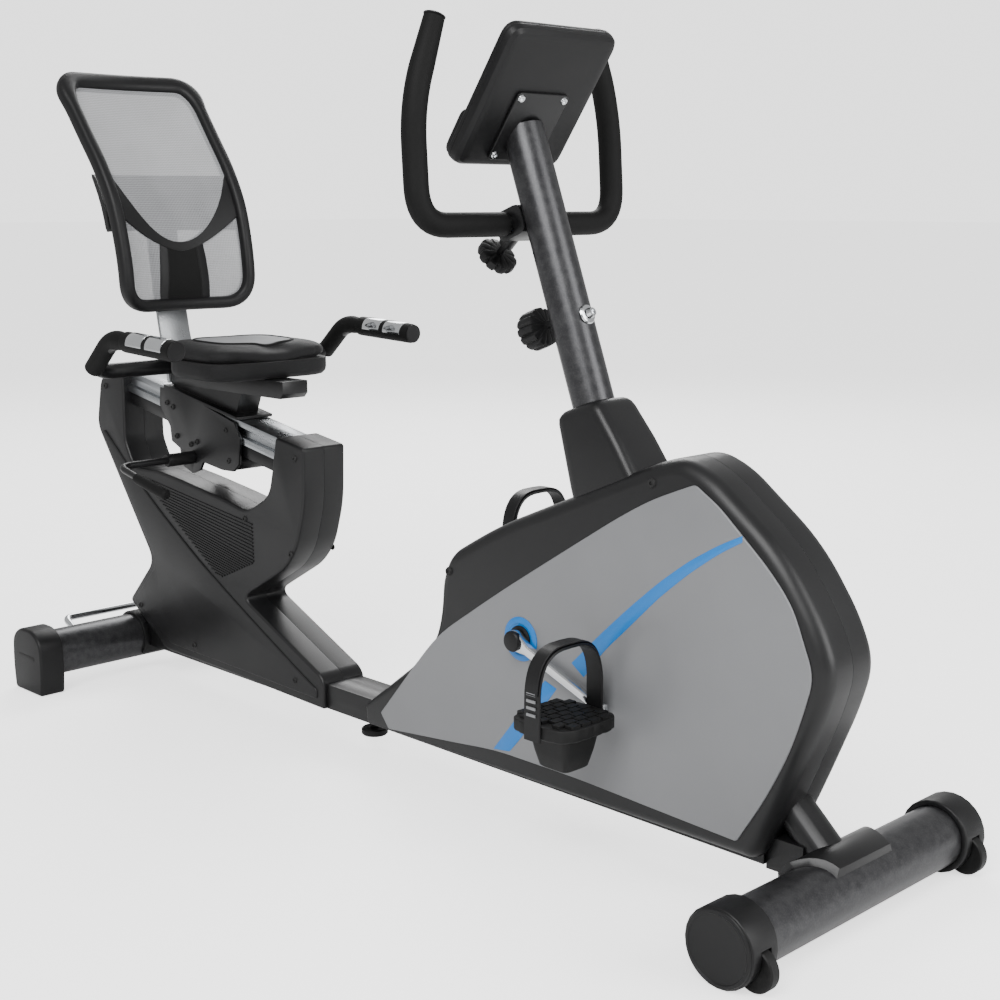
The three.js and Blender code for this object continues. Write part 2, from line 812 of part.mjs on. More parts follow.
function addBarClamp() {
  const centre = v3(bar.x, 0, bar.z).applyMatrix4(mastFrame.clone().invert());
  const { half, reach, tall, boss, bossReach } = barClamp;
  const outline = rounded(
    [
      [-mast.radius + 12, centre.z - tall],
      [-mast.radius + 12, centre.z + tall],
      [-reach, centre.z + tall],
      [-reach, centre.z - tall],
    ],
    12,
  );
  const block = placed(alongY(outline, -half, half), mastFrame);
  const mastRoom = alongMast(holeFor(mast.radius + GAP, 36), 100, 320);
  const bore = rodY(bar.x, bar.z, holeFor(bar.radius + GAP), -60, 60);
  const stemHole = rod(onKnobAxis(17), onKnobAxis(60), holeFor(clampKnob.stem, 24));
  const stub = rod(onKnobAxis(15), onKnobAxis(bossReach), boss, 24);
  piece("bar_clamp", cut(join(block, stub), mastRoom, bore, stemHole), blackSteel);
}

// A fluted round handle between two points.
function fluted(from, to, radius, flutes) {
  const body = rod(from, to, radius, flutes * 4, radius - 1.5);
  const axis = to.clone().sub(from).normalize();
  const across = v3(0, 1, 0);
  const over = axis.clone().cross(across);
  const cuts = [];
  for (let i = 0; i < flutes; i += 1) {
    const a = (2 * Math.PI * i) / flutes;
    const out = across.clone().multiplyScalar(Math.cos(a)).addScaledVector(over, Math.sin(a));
    const centre = from.clone().addScaledVector(out, radius + 2.5);
    cuts.push(rod(centre.clone().addScaledVector(axis, -1), to.clone().addScaledVector(out, radius + 2.5)
      .addScaledVector(axis, 1), 5, 8));
  }
  return cut(body, ...cuts);
}

function addKnobs() {
  const grip = fluted(onKnobAxis(clampKnob.from), onKnobAxis(clampKnob.to), clampKnob.radius, 10);
  const stem = rod(onKnobAxis(19), onKnobAxis(clampKnob.from + 2), clampKnob.stem);
  piece("clamp_knob", join(grip, stem), blackPlastic);
  const at = (reach) => onMast(-reach, 0, tensionKnob.along);
  const dial = fluted(at(tensionKnob.from), at(tensionKnob.to), tensionKnob.radius, 12);
  const shaft = rod(at(tensionKnob.inside), at(tensionKnob.from + 2), tensionKnob.stem);
  piece("tension_knob", join(dial, shaft), blackPlastic);
}

const barUpright = (side) => [
  v3(bar.x, side * bar.half, bar.z),
  v3(bar.x - 10, side * bar.half, bar.z + 150),
  v3(bar.tipX, side * bar.tipHalf, bar.tipZ),
];

function addHandlebar() {
  const right = barUpright(-1).reverse();
  const path = [...right, ...barUpright(1)];
  piece("handlebar", bentRod(path, bar.radius, bar.bend), blackSteel);
  for (const [name, side] of SIDES) {
    const run = barUpright(side);
    const end = run[2].clone().sub(run[1]).setLength(4);
    const sleeve = [v3(bar.x, side * bar.middle, bar.z), run[0], run[1], run[2].clone().add(end)];
    const inside = v3(bar.x, side * (bar.middle - 4), bar.z);
    const core = [inside, run[0], run[1], run[2].clone().addScaledVector(end, 0.1)];
    const bore = holeFor(bar.radius + GAP - RUNNING, 12);
    const body = cut(bentRod(sleeve, bar.foam, bar.bend), bentRod(core, bore, bar.bend));
    piece(`foam_grip_${name}`, body, foam);
  }
}

// ---------------------------------------------------------------- console
const CONSOLE_OUTLINE = [
  [100, -64, 22],
  [100, 142, 22],
  [-100, 142, 22],
  [-100, -64, 22],
];
const BLOCK_OUTLINE = [
  [98, -62, 20],
  [98, 8, 10],
  [-98, 8, 10],
  [-98, -62, 20],
];
const onPanel = (across, up, depth) => onConsole(depth, across, up);
const panelPoints = (points) => points.map(([across, up]) => [across, up]);

const pressButton = (side, low, high, grow) =>
  rod(
    onConsole(low, side * button.across, button.height),
    onConsole(high, side * button.across, button.height),
    button.radius + grow,
    24,
  );

function addConsole() {
  const { deep, wall, edge, face, block } = consoleBox;
  const outline = rounded(CONSOLE_OUTLINE, 12);
  const shell = cut(
    pillow(panelPoints(outline), -deep, 0, onPanel, 0.5, edge),
    pillow(inset(outline, wall), -deep - 1, -wall, onPanel, 0.5, edge - wall),
  );
  piece("console_back", shell, blackPlastic);

  const top = -deep - GAP;
  const front = top - face;
  const window = [
    [display.half, display.low],
    [display.half, display.high],
    [-display.half, display.high],
    [-display.half, display.low],
  ];
  const recess = placed(
    box(front - 1, front + display.deep + GAP, -display.half, display.half, display.low, display.high),
    consoleFrame,
  );
  const ledge = placed(box(front - 14, front + 2, -70, 70, 12, 18), consoleFrame);
  const blockFront = front - block;
  const blockBody = pillow(panelPoints(rounded(BLOCK_OUTLINE, 10)), blockFront, top - 2, onPanel, 5, 1);
  const plateBody = join(pillow(panelPoints(outline), front, top, onPanel, 5, 1), blockBody, ledge);
  const wells = SIDES.map(([, side]) => pressButton(side, blockFront - 1, blockFront + button.deep, GAP));
  piece("console_face", cut(plateBody, recess, ...wells), blackPlastic);
  const lens = inset(window, GAP);
  piece("display_lens", pillow(lens, front + 0.4, front + display.deep, onPanel, 0.5, 0.2, 1), glass);
  for (const [name, side] of SIDES) {
    piece(
      `button_${name}`,
      pressButton(side, blockFront - button.proud, blockFront + button.deep - 2, 0),
      greyPlastic,
    );
  }
}

// ---------------------------------------------------------------- drive
const atCrank = (reach, turn) => {
  const a = rad(crank.angle + turn);
  return [crank.x + reach * Math.cos(a), crank.z + reach * Math.sin(a)];
};

function addCrankArm(name, side) {
  const turn = side < 0 ? 0 : 180;
  const [endX, endZ] = atCrank(crank.length, turn);
  const y = band(side, crank.armY, crank.armY + crank.arm);
  const a = rad(crank.angle + turn);
  const off = (x, z, across) => [x - across * Math.sin(a), z + across * Math.cos(a)];
  const web = alongY(
    [
      off(crank.x, crank.z, -15),
      off(endX, endZ, -11),
      off(endX, endZ, 11),
      off(crank.x, crank.z, 15),
    ],
    ...y,
  );
  const hub = rodY(crank.x, crank.z, 19, ...y);
  const eye = rodY(endX, endZ, 13, ...y);
  const spindle = rodY(endX, endZ, pedal.spindle, ...band(side, crank.armY + 2, pedal.outer - 6), 24);
  const bore = rodY(crank.x, crank.z, holeFor(crank.axle + GAP - RUNNING), -100, 100);
  piece(`crank_arm_${name}`, cut(join(web, hub, eye, spindle), bore), chrome);
}

// A tread platform with a weighted heel below, on a bore for the spindle.
function addPedal(name, side) {
  const [x, z] = atCrank(crank.length, side < 0 ? 0 : 180);
  const { inner, outer, halfX, top, low, drop } = pedal;
  const mid = (side * (inner + outer)) / 2;
  const halfY = (outer - inner) / 2;
  const outline = rounded(
    [
      [x - halfX, mid - halfY, 16],
      [x + halfX, mid - halfY, 16],
      [x + halfX, mid + halfY, 16],
      [x - halfX, mid + halfY, 16],
    ],
    16,
  );
  const deck = pillow(outline, z + low, z + top - 4, onTop, 3, 2, 2);
  const blocks = [];
  for (let row = -2; row <= 2; row += 1) {
    for (let col = -1; col <= 1; col += 1) {
      const bx = x + row * 18;
      const by = mid + col * 30;
      blocks.push(box(bx - 6, bx + 6, by - 12, by + 12, z + top - 6, z + top));
    }
  }
  const weight = alongX(
    [
      [mid - 34, z + low + 2],
      [mid + 34, z + low + 2],
      [mid + 26, z + drop],
      [mid - 26, z + drop],
    ],
    x - 44,
    x + 44,
  );
  const bore = rodY(x, z, holeFor(pedal.spindle, 24), ...band(side, inner - 2, outer - 5), 24);
  piece(`pedal_${name}`, cut(join(deck, ...blocks, weight), bore), blackPlastic);

  const reach = halfY + GAP + strap.thick / 2;
  const run = [[mid - reach, z + 8]];
  const tall = strap.height;
  for (let i = 0; i <= 12; i += 1) {
    const a = Math.PI * (1 - i / 12);
    const squarish = Math.sign(Math.cos(a)) * Math.abs(Math.cos(a)) ** 0.6;
    run.push([mid + reach * squarish, z + 34 + (tall - 34) * Math.sin(a) ** 0.8]);
  }
  run.push([mid + reach, z + 8]);
  piece(
    `pedal_strap_${name}`,
    alongX(ribbon(run, strap.thick), x - strap.width / 2, x + strap.width / 2),
    blackPlastic,
  );
}

// The outline of a belt round both pulleys, standing off them by a distance.
function beltLoop(off) {
  const away = Math.atan2(flywheel.z - crank.z, flywheel.x - crank.x);
  const apart = Math.hypot(flywheel.z - crank.z, flywheel.x - crank.x);
  const open = Math.acos((pulley.radius - flywheel.pulley) / apart);
  const arc = (x, z, radius, from, to, steps) => {
    const points = [];
    for (let i = 0; i <= steps; i += 1) {
      const a = from + ((to - from) * i) / steps;
      points.push([x + (radius + off) * Math.cos(a), z + (radius + off) * Math.sin(a)]);
    }
    return points;
  };
  return [
    ...arc(crank.x, crank.z, pulley.radius, away + open, away + 2 * Math.PI - open, 24),
    ...arc(flywheel.x, flywheel.z, flywheel.pulley, away - open, away + open, 12),
  ];
}

function addDrive() {
  piece("crank_axle", rodY(crank.x, crank.z, crank.axle, -crank.end, crank.end), chrome);
  const y = pulley.y;
  const wide = y + pulley.width;
  const bore = crank.axle + GAP;
  const wheelProfile = [
    [bore, y],
    [26, y],
    [26, y + 4],
    [92, y + 4],
    [92, y],
    [pulley.radius, y],
    [pulley.radius, wide],
    [92, wide],
    [92, wide - 4],
    [26, wide - 4],
    [26, wide + 4],
    [bore, wide + 4],
  ];
  piece("crank_pulley", turned(wheelProfile, crank.x, crank.z, 40), blackPlastic);
  const { half, radius, axle } = flywheel;
  const profile = [
    [0, -32],
    [axle, -32],
    [axle, -18],
    [18, -18],
    [18, -5],
    [80, -5],
    [80, -half],
    [radius, -half],
    [radius, half],
    [80, half],
    [80, 5],
    [18, 5],
    [18, 16],
    [flywheel.pulley, 16],
    [flywheel.pulley, 34],
    [axle, 34],
    [axle, 45],
    [0, 45],
  ];
  piece("flywheel", turned(profile, flywheel.x, flywheel.z, 24), castIron);
  const low = pulley.y + (pulley.width - pulley.belt) / 2;
  const standOff = 2 * GAP;
  const belt = alongY(beltLoop(standOff + pulley.beltThick), low, low + pulley.belt, [beltLoop(standOff)]);
  piece("drive_belt", belt, foam);
  for (const [name, side] of SIDES) {
    addCrankArm(name, side);
    addPedal(name, side);
  }
}

// ---------------------------------------------------------------- seat rail and carriage
function addSeatRail() {
  const { half, high, groove } = rail;
  const section = [
    [-half, -high],
    [half, -high],
    [half, -high + 12],
    [half - groove, -high + 14],
    [half - groove, -12],
    [half, -10],
    [half, 0],
    [-half, 0],
    [-half, -10],
    [-half + groove, -12],
    [-half + groove, -high + 14],
    [-half, -high + 12],
  ];
  const core = box(rail.back - 1, rail.fore + 1, -20, 20, -high + 4, -4);
  piece("seat_rail", placed(cut(alongX(section, rail.back, rail.fore), core), railFrame), aluminium);
}

const CARRIAGE_SIDE = [
  [-1421, 531],
  [-1377, 533],
  [-1202, 490],
  [-1186, 463],
  [-1192, 420],
  [-1208, 407],
  [-1240, 406],
  [-1296, 413],
  [-1306, 398],
  [-1328, 390],
  [-1355, 399],
  [-1366, 430],
  [-1390, 440],
  [-1394, 466],
  [-1424, 500],
];


function addCarriage() {
  const { inner, outer, cover, coverTop } = carriage;
  const sides = SIDES.map(([, side]) => alongY(CARRIAGE_SIDE, ...band(side, inner, outer)));
  const lid = placed(box(-112, 108, -outer, outer, cover, coverTop), railFrame);
  const wedge = alongY(
    [
      [-1400, 533],
      [-1215, 501],
      [-1196, 545],
      [-1400, 545],
    ],
    -22,
    22,
  );
  const member = alongY(
    [
      [seatBar.back, seatBar.low],
      [seatBar.fore - 8, seatBar.low],
      [seatBar.fore, seatBar.low + 8],
      [seatBar.fore, seatBar.high],
      [seatBar.back, seatBar.high],
    ],
    -seatBar.half,
    seatBar.half,
  );
  const pins = [roller.fore, roller.back].map((along) =>
    rod(onRail(along, -inner - 2, roller.b), onRail(along, inner + 2, roller.b), roller.pin),
  );
  const shaftHole = rodY(lever.x, lever.z, holeFor(lever.radius, 24), -60, 60, 24);
  piece("carriage", cut(join(...sides, lid, wedge, member, ...pins), shaftHole), blackSteel);
  const rollers = [["front", roller.fore], ["rear", roller.back]];
  for (const [name, along] of rollers) {
    const drum = rod(
      onRail(along, -roller.half, roller.b),
      onRail(along, roller.half, roller.b),
      roller.radius,
      24,
    );
    const bore = rod(
      onRail(along, -40, roller.b),
      onRail(along, 40, roller.b),
      holeFor(roller.pin, 24),
    );
    piece(`roller_${name}`, cut(drum, bore), blackPlastic);
  }
}

function addLever() {
  const shaft = bentRod(
    [
      v3(lever.x, 39, lever.z),
      v3(lever.x, -lever.out, lever.z),
      v3(lever.gripX, -lever.out - 6, lever.gripZ),
    ],
    lever.radius,
    22,
    16,
  );
  const boss = rodY(lever.x, lever.z, lever.boss, -lever.bossOut, -carriage.outer - GAP);
  const start = v3(lever.gripX - 88, -lever.out - 4, lever.gripZ + 18);
  const handle = rod(start, v3(lever.gripX + 3, -lever.out - 6, lever.gripZ), 9, 24);
  piece("seat_lever", join(shaft, boss, handle), blackPlastic);
}

// ---------------------------------------------------------------- seat
const seatOutline = (grow, rear) =>
  rounded(
    [
      [rear - grow, -seat.half - grow],
      [seat.fore + grow, -seat.half - grow],
      [seat.fore + grow, seat.half + grow],
      [rear - grow, seat.half + grow],
    ],
    seat.corner,
    5,
  );

function addSeat() {
  const low = seatBar.high + GAP;
  piece("seat_base", pillow(seatOutline(-4, seat.panBack), low, seat.split, onTop, 12, 1), blackPlastic);
  const cushion = pillow(seatOutline(0, seat.back), seat.split + GAP, seat.high, onTop, 5, 14);
  piece("seat_cushion", cushion, cloth);
}

const armrestRun = (side) => [
  v3(armrest.x, side * armrest.half, armrest.z),
  v3(armrest.riseX, side * armrest.half, armrest.riseZ),
  v3(armrest.endX, side * armrest.half, armrest.endZ),
];

function addArmrests() {
  const path = [...armrestRun(1).reverse(), ...armrestRun(-1)];
  piece("seat_handlebar", bentRod(path, armrest.radius, 40), blackSteel);
  for (const [name, side] of SIDES) {
    const [, rise, end] = armrestRun(side);
    const along = end.clone().sub(rise).normalize();
    const start = end.clone().addScaledVector(along, grip.from - armrest.endX);
    const beyond = end.clone().addScaledVector(along, grip.cap);
    const sleeve = rod(start, beyond, grip.radius, 24);
    const bore = rod(
      start.clone().addScaledVector(along, -2),
      end.clone().addScaledVector(along, GAP),
      armrest.radius + GAP,
      32,
    );
    piece(`seat_grip_${name}`, cut(sleeve, bore), foam);
  }
}

// ---------------------------------------------------------------- backrest
const BACK_PROFILE = [
  [-1396, 640],
  [-1390, 700],
  [-1391, 740],
  [-1400, 790],
  [-1416, 845],
  [-1451, 905],
  [-1497, 960],
  [-1538, 1015],
  [-1580, 1072],
];

// How far back the backrest stands at a height.
function backAt(z) {
  const i = Math.max(1, BACK_PROFILE.findIndex((point) => point[1] >= z));
  const [[x0, z0], [x1, z1]] = [BACK_PROFILE[i - 1], BACK_PROFILE[i]];
  return x0 + ((x1 - x0) * (z - z0)) / (z1 - z0);
}

// Splits the long sides of an outline so that it can follow a curve.
function divided(points, longest) {
  return points.flatMap(([x, y], i) => {
    const [nx, ny] = points[(i + 1) % points.length];
    const parts = Math.max(1, Math.ceil(Math.abs(ny - y) / longest));
    return Array.from({ length: parts }, (_, n) => [
      x + ((nx - x) * n) / parts,
      y + ((ny - y) * n) / parts,
    ]);
  });
}

// A slab over an outline in Y and Z that follows the backrest's curve.
function curvedSlab(points, behind, ahead) {
  const rows = [];
  for (let z = BACK_PROFILE[0][1]; z <= BACK_PROFILE.at(-1)[1]; z += 18) rows.push([backAt(z), z]);
  const section = [
    ...rows.map(([x, z]) => [x + ahead, z]),
    ...rows.reverse().map(([x, z]) => [x + behind, z]),
  ];
  return alongY(section, -200, 200).intersect(alongX(points, -1700, -1300));
}

function backRim(radius = back.rim) {
  const { half, low, high, corner } = back;
  const run = divided(
    rounded(
      [
        [-half, low],
        [half, low],
        [half, high],
        [-half, high],
      ],
      corner,
      4,
    ),
    26,
  ).map(([y, z]) => v3(backAt(z), y, z));
  const rings = run.map((spot, i) => {
    const ahead = run[(i + 1) % run.length];
    const behind = run[(i + run.length - 1) % run.length];
    const tangent = ahead.clone().sub(behind).normalize();
    const slope = v3(backAt(spot.z + 5) - backAt(spot.z - 5), 0, 10).normalize();
    const out = v3(0, 1, 0).cross(slope).normalize();
    const side = tangent.clone().cross(out).normalize();
    const ring = [];
    for (let k = 0; k < 12; k += 1) {
      const a = (2 * Math.PI * k) / 12;
      ring.push(
        spot
          .clone()
          .addScaledVector(out, radius * Math.cos(a))
          .addScaledVector(side, radius * Math.sin(a)),
      );
    }
    return ring;
  });
  return loft(rings, true);
}

function addBackrest() {
  const arms = [
    [-124, 908],
    [-108, 868],
    [-78, 826],
    [-40, 794],
    [0, 784],
    [40, 794],
    [78, 826],
    [108, 868],
    [124, 908],
    [124, 826],
    [104, 802],
    [80, 784],
    [46, 768],
    [52, 674],
    [-52, 674],
    [-46, 768],
    [-80, 784],
    [-104, 802],
    [-124, 826],
  ];
  const slab = curvedSlab(arms, -back.slab / 2, back.slab / 2);
  piece("backrest_frame", join(backRim(), slab), blackPlastic);

  const inner = back.half - back.rim - GAP;
  const sheet = rounded(
    [
      [-inner, back.low + back.rim + GAP],
      [inner, back.low + back.rim + GAP],
      [inner, back.high - back.rim - GAP],
      [-inner, back.high - back.rim - GAP],
    ],
    back.corner - back.rim,
    4,
  );
  const rear = -back.slab / 2 - GAP;
  piece("backrest_mesh", cut(curvedSlab(sheet, rear - back.sheet, rear), backRim(back.rim + GAP)), cloth);
  addYoke();
}

// The rim with its clearance, as a tool.

// A bowed plastic yoke joins the back of the rim to the top of the steel bracket.
function addYoke() {
  const across = [-136, -112, -76, -30, 30, 76, 112, 136];
  const off = back.rim + GAP;
  const bow = (y) => 46 * Math.sqrt(Math.max(0, 1 - (y / 136) ** 2));
  const ringAt = (z) => {
    const x = backAt(z) - off;
    const faceward = across.map((y) => v3(x - bow(y), y, z));
    const rearward = across.map((y) => v3(x - bow(y) - 13, y, z)).reverse();
    return [...faceward, ...rearward];
  };
  const yoke = cut(loft([806, 826, 845, 865, 890].map(ringAt)), backRim(back.rim + GAP));
  piece("backrest_yoke", yoke, blackPlastic);
  const line = [
    [seatBar.back - GAP - bracket.thick / 2, 540],
    [seatBar.back - GAP - bracket.thick / 2 - 4, 570],
    [-1424, 625],
    [-1440, 700],
  ];
  for (const z of [790, 845, 880]) {
    line.push([backAt(z) - off - 46 + bracket.thick / 2 + 2.8, z]);
  }
  const bar = alongY(ribbon(line, bracket.thick), -bracket.half, bracket.half);
  piece("backrest_bracket", bar, greySteel);
}

// ---------------------------------------------------------------- the whole bike
addMainFrame();
addFeet();
addMainShroud();
addRearShroud();
addMastBoot();
addMast();
addBarClamp();
addKnobs();
addHandlebar();
addConsole();
addDrive();
addSeatRail();
addCarriage();
addLever();
addSeat();
addArmrests();
addBackrest();

const bounds = new THREE.Box3().setFromObject(bike);
const middle = bounds.getCenter(v3(0, 0, 0));
bike.position.set(-middle.x, -middle.y, -bounds.min.z);
bike.updateMatrixWorld(true);

export default bike;
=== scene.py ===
# %% [markdown]
# # A recumbent exercise bike, dressed in Blender
# A recumbent bike is three things on one low beam: an enclosed drive at the front, a leaning mast with
# its handlebar and console, and a seat that slides on a sloping rail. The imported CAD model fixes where
# everything is. This lesson rebuilds each visible piece round it with finer shapes and real finishes.
# All sizes below are in millimetres in the bike's own frame and are turned into metres by `at`.

import json
import math

import bmesh
import bpy
from mathutils import Matrix, Vector

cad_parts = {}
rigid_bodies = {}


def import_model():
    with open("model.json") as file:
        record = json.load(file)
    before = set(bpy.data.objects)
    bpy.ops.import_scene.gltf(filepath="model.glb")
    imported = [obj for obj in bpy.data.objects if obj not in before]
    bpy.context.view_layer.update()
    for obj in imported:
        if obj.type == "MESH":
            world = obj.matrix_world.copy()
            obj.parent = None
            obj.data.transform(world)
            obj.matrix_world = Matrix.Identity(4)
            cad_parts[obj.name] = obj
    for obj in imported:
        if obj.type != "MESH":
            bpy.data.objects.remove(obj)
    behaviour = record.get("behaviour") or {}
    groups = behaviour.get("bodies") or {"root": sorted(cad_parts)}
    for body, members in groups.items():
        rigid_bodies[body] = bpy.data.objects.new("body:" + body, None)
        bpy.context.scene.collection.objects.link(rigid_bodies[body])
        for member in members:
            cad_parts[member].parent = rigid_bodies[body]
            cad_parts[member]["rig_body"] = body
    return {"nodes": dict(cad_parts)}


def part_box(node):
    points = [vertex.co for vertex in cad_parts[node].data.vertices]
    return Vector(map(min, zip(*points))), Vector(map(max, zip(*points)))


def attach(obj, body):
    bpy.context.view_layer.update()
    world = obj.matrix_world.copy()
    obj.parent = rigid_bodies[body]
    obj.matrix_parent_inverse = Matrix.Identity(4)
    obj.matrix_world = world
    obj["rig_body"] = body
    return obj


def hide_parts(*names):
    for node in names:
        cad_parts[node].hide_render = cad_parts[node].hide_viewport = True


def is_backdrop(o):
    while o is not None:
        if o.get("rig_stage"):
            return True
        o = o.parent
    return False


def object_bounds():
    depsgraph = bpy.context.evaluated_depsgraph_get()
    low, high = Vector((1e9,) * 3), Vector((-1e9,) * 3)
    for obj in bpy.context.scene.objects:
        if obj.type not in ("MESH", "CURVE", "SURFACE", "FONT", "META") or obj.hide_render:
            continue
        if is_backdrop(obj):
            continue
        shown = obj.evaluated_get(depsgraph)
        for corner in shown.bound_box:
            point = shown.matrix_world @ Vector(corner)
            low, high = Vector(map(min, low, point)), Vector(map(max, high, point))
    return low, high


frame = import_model()
cad_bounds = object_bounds()
low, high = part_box("front_stabiliser")
SHIFT = (low.x + high.x) * 500 + 17
print("frame loaded, the bike's own zero lies", round(SHIFT, 2), "mm ahead of the middle")


# %% [markdown]
# ## The camera and the studio
# A product picture is taken from the front right, a little above the seat. The lens is fairly long, so
# the far end of the bike stays in proportion. One pale floor and three large soft lamps are enough:
# large lamps make the broad, quiet highlights that black plastic needs to show its shape.


# %% Camera, floor and lamps
def at(x, y, z):
    """A place in the bike's own frame in millimetres, as metres in the model's frame."""
    return Vector(((x + SHIFT) / 1000, y / 1000, z / 1000))


def add_camera():
    data = bpy.data.cameras.new("camera")
    data.lens = 57.2
    data.sensor_width = 36
    camera = bpy.data.objects.new("camera", data)
    bpy.context.scene.collection.objects.link(camera)
    camera.location = at(970, -1549, 850)
    aim = Vector((-0.7016, 0.6883, -0.1846))
    camera.rotation_euler = aim.to_track_quat("-Z", "Y").to_euler()
    bpy.context.scene.camera = camera


def add_lamp(name, place, target, size, power):
    data = bpy.data.lights.new(name, "AREA")
    data.shape = "RECTANGLE"
    data.size, data.size_y = size
    data.energy = power
    lamp = bpy.data.objects.new(name, data)
    bpy.context.scene.collection.objects.link(lamp)
    lamp.location = place
    lamp.rotation_euler = (target - place).to_track_quat("-Z", "Y").to_euler()


add_camera()
middle = Vector((0, 0, 0.5))
add_lamp("key_lamp", Vector((1.6, -3.2, 3.4)), middle, (2.6, 2.6), 230)
add_lamp("side_lamp", Vector((3.6, 0.8, 1.8)), middle, (1.8, 2.6), 110)
add_lamp("back_lamp", Vector((-2.6, 2.6, 3.0)), middle, (2.6, 2.0), 130)
world = bpy.data.worlds.new("studio")
world.use_nodes = True
lit = world.node_tree.nodes["Background"]
lit.inputs["Color"].default_value = (1, 1, 1, 1)
lit.inputs["Strength"].default_value = 0.6
seen = world.node_tree.nodes.new("ShaderNodeBackground")
seen.inputs["Strength"].default_value = 2.2
eye = world.node_tree.nodes.new("ShaderNodeLightPath")
mixed = world.node_tree.nodes.new("ShaderNodeMixShader")
world.node_tree.links.new(eye.outputs["Is Camera Ray"], mixed.inputs[0])
world.node_tree.links.new(lit.outputs[0], mixed.inputs[1])
world.node_tree.links.new(seen.outputs[0], mixed.inputs[2])
world.node_tree.links.new(mixed.outputs[0], world.node_tree.nodes["World Output"].inputs["Surface"])
seen.inputs["Color"].default_value = (1, 1, 1, 1)
bpy.context.scene.world = world
print("camera and", len(bpy.data.lights), "lamps")


# %% [markdown]
# ## Shader node groups
# Nearly every finish on the bike needs the same three effects, so each is one node group. *Grain* makes
# the fine pebbled skin of moulded plastic and powder paint. *Blotch* varies a colour and its roughness
# in large soft patches, as handling and uneven paint do. *Threads* crosses two sets of waves for cloth
# and net. The groups put out colours, values and normals, and each material keeps its own shader.


# %% Grain, Blotch and Threads
def start_group(name, inputs, outputs):
    """A new shader group with float or colour inputs (name: default) and typed outputs."""
    tree = bpy.data.node_groups.new(name, "ShaderNodeTree")
    for label, value in inputs.items():
        kind = "NodeSocketColor" if isinstance(value, tuple) else "NodeSocketFloat"
        tree.interface.new_socket(label, in_out="INPUT", socket_type=kind).default_value = value
    for label, kind in outputs.items():
        tree.interface.new_socket(label, in_out="OUTPUT", socket_type=kind)
    return tree, tree.nodes.new("NodeGroupInput"), tree.nodes.new("NodeGroupOutput")


def add_node(tree, kind, settings=None, **inputs):
    """A node with its settings and inputs: a socket is linked, and any other value is set."""
    node = tree.nodes.new(kind)
    for key, value in (settings or {}).items():
        setattr(node, key, value)
    for key, value in inputs.items():
        socket = node.inputs[int(key[1:])] if key[0] == "i" and key[1:].isdigit() else node.inputs[key]
        if isinstance(value, bpy.types.NodeSocket):
            tree.links.new(value, socket)
        else:
            socket.default_value = value
    return node


def make_grain():
    tree, given, out = start_group(
        "Grain", {"Size": 900.0, "Height": 0.25}, {"Normal": "NodeSocketVector"}
    )
    place = add_node(tree, "ShaderNodeTexCoord").outputs["Object"]
    noise = add_node(tree, "ShaderNodeTexNoise", Vector=place, Scale=given.outputs["Size"], Detail=3.0)
    bump = add_node(
        tree,
        "ShaderNodeBump",
        Strength=given.outputs["Height"],
        Distance=0.0004,
        Height=noise.outputs["Fac"],
    )
    tree.links.new(bump.outputs["Normal"], out.inputs["Normal"])
    return tree


def make_blotch():
    tree, given, out = start_group(
        "Blotch",
        {
            "Color": (0.1, 0.1, 0.1, 1.0),
            "Second Color": (0.2, 0.2, 0.2, 1.0),
            "Size": 9.0,
            "Speck Size": 420.0,
            "Speck Amount": 0.2,
            "Low Roughness": 0.3,
            "High Roughness": 0.5,
        },
        {"Color": "NodeSocketColor", "Roughness": "NodeSocketFloat"},
    )
    place = add_node(tree, "ShaderNodeTexCoord").outputs["Object"]
    broad = add_node(tree, "ShaderNodeTexNoise", Vector=place, Scale=given.outputs["Size"], Detail=6.0)
    fine = add_node(tree, "ShaderNodeTexNoise", Vector=place, Scale=given.outputs["Speck Size"], Detail=2.0)
    patch = add_node(tree, "ShaderNodeMapRange", Value=broad.outputs["Fac"], i1=0.35, i2=0.68)
    speck = add_node(tree, "ShaderNodeMapRange", Value=fine.outputs["Fac"], i1=0.45, i2=0.72)
    amount = add_node(
        tree,
        "ShaderNodeMath",
        {"operation": "MULTIPLY"},
        i0=speck.outputs["Result"],
        i1=given.outputs["Speck Amount"],
    )
    both = add_node(
        tree,
        "ShaderNodeMath",
        {"operation": "MULTIPLY_ADD", "use_clamp": True},
        i0=patch.outputs["Result"],
        i1=0.45,
        i2=amount.outputs[0],
    )
    colour = add_node(
        tree,
        "ShaderNodeMix",
        {"data_type": "RGBA"},
        i0=both.outputs[0],
        i6=given.outputs["Color"],
        i7=given.outputs["Second Color"],
    )
    rough = add_node(
        tree,
        "ShaderNodeMapRange",
        Value=broad.outputs["Fac"],
        i1=0.3,
        i2=0.7,
        i3=given.outputs["Low Roughness"],
        i4=given.outputs["High Roughness"],
    )
    tree.links.new(colour.outputs[2], out.inputs["Color"])
    tree.links.new(rough.outputs["Result"], out.inputs["Roughness"])
    return tree


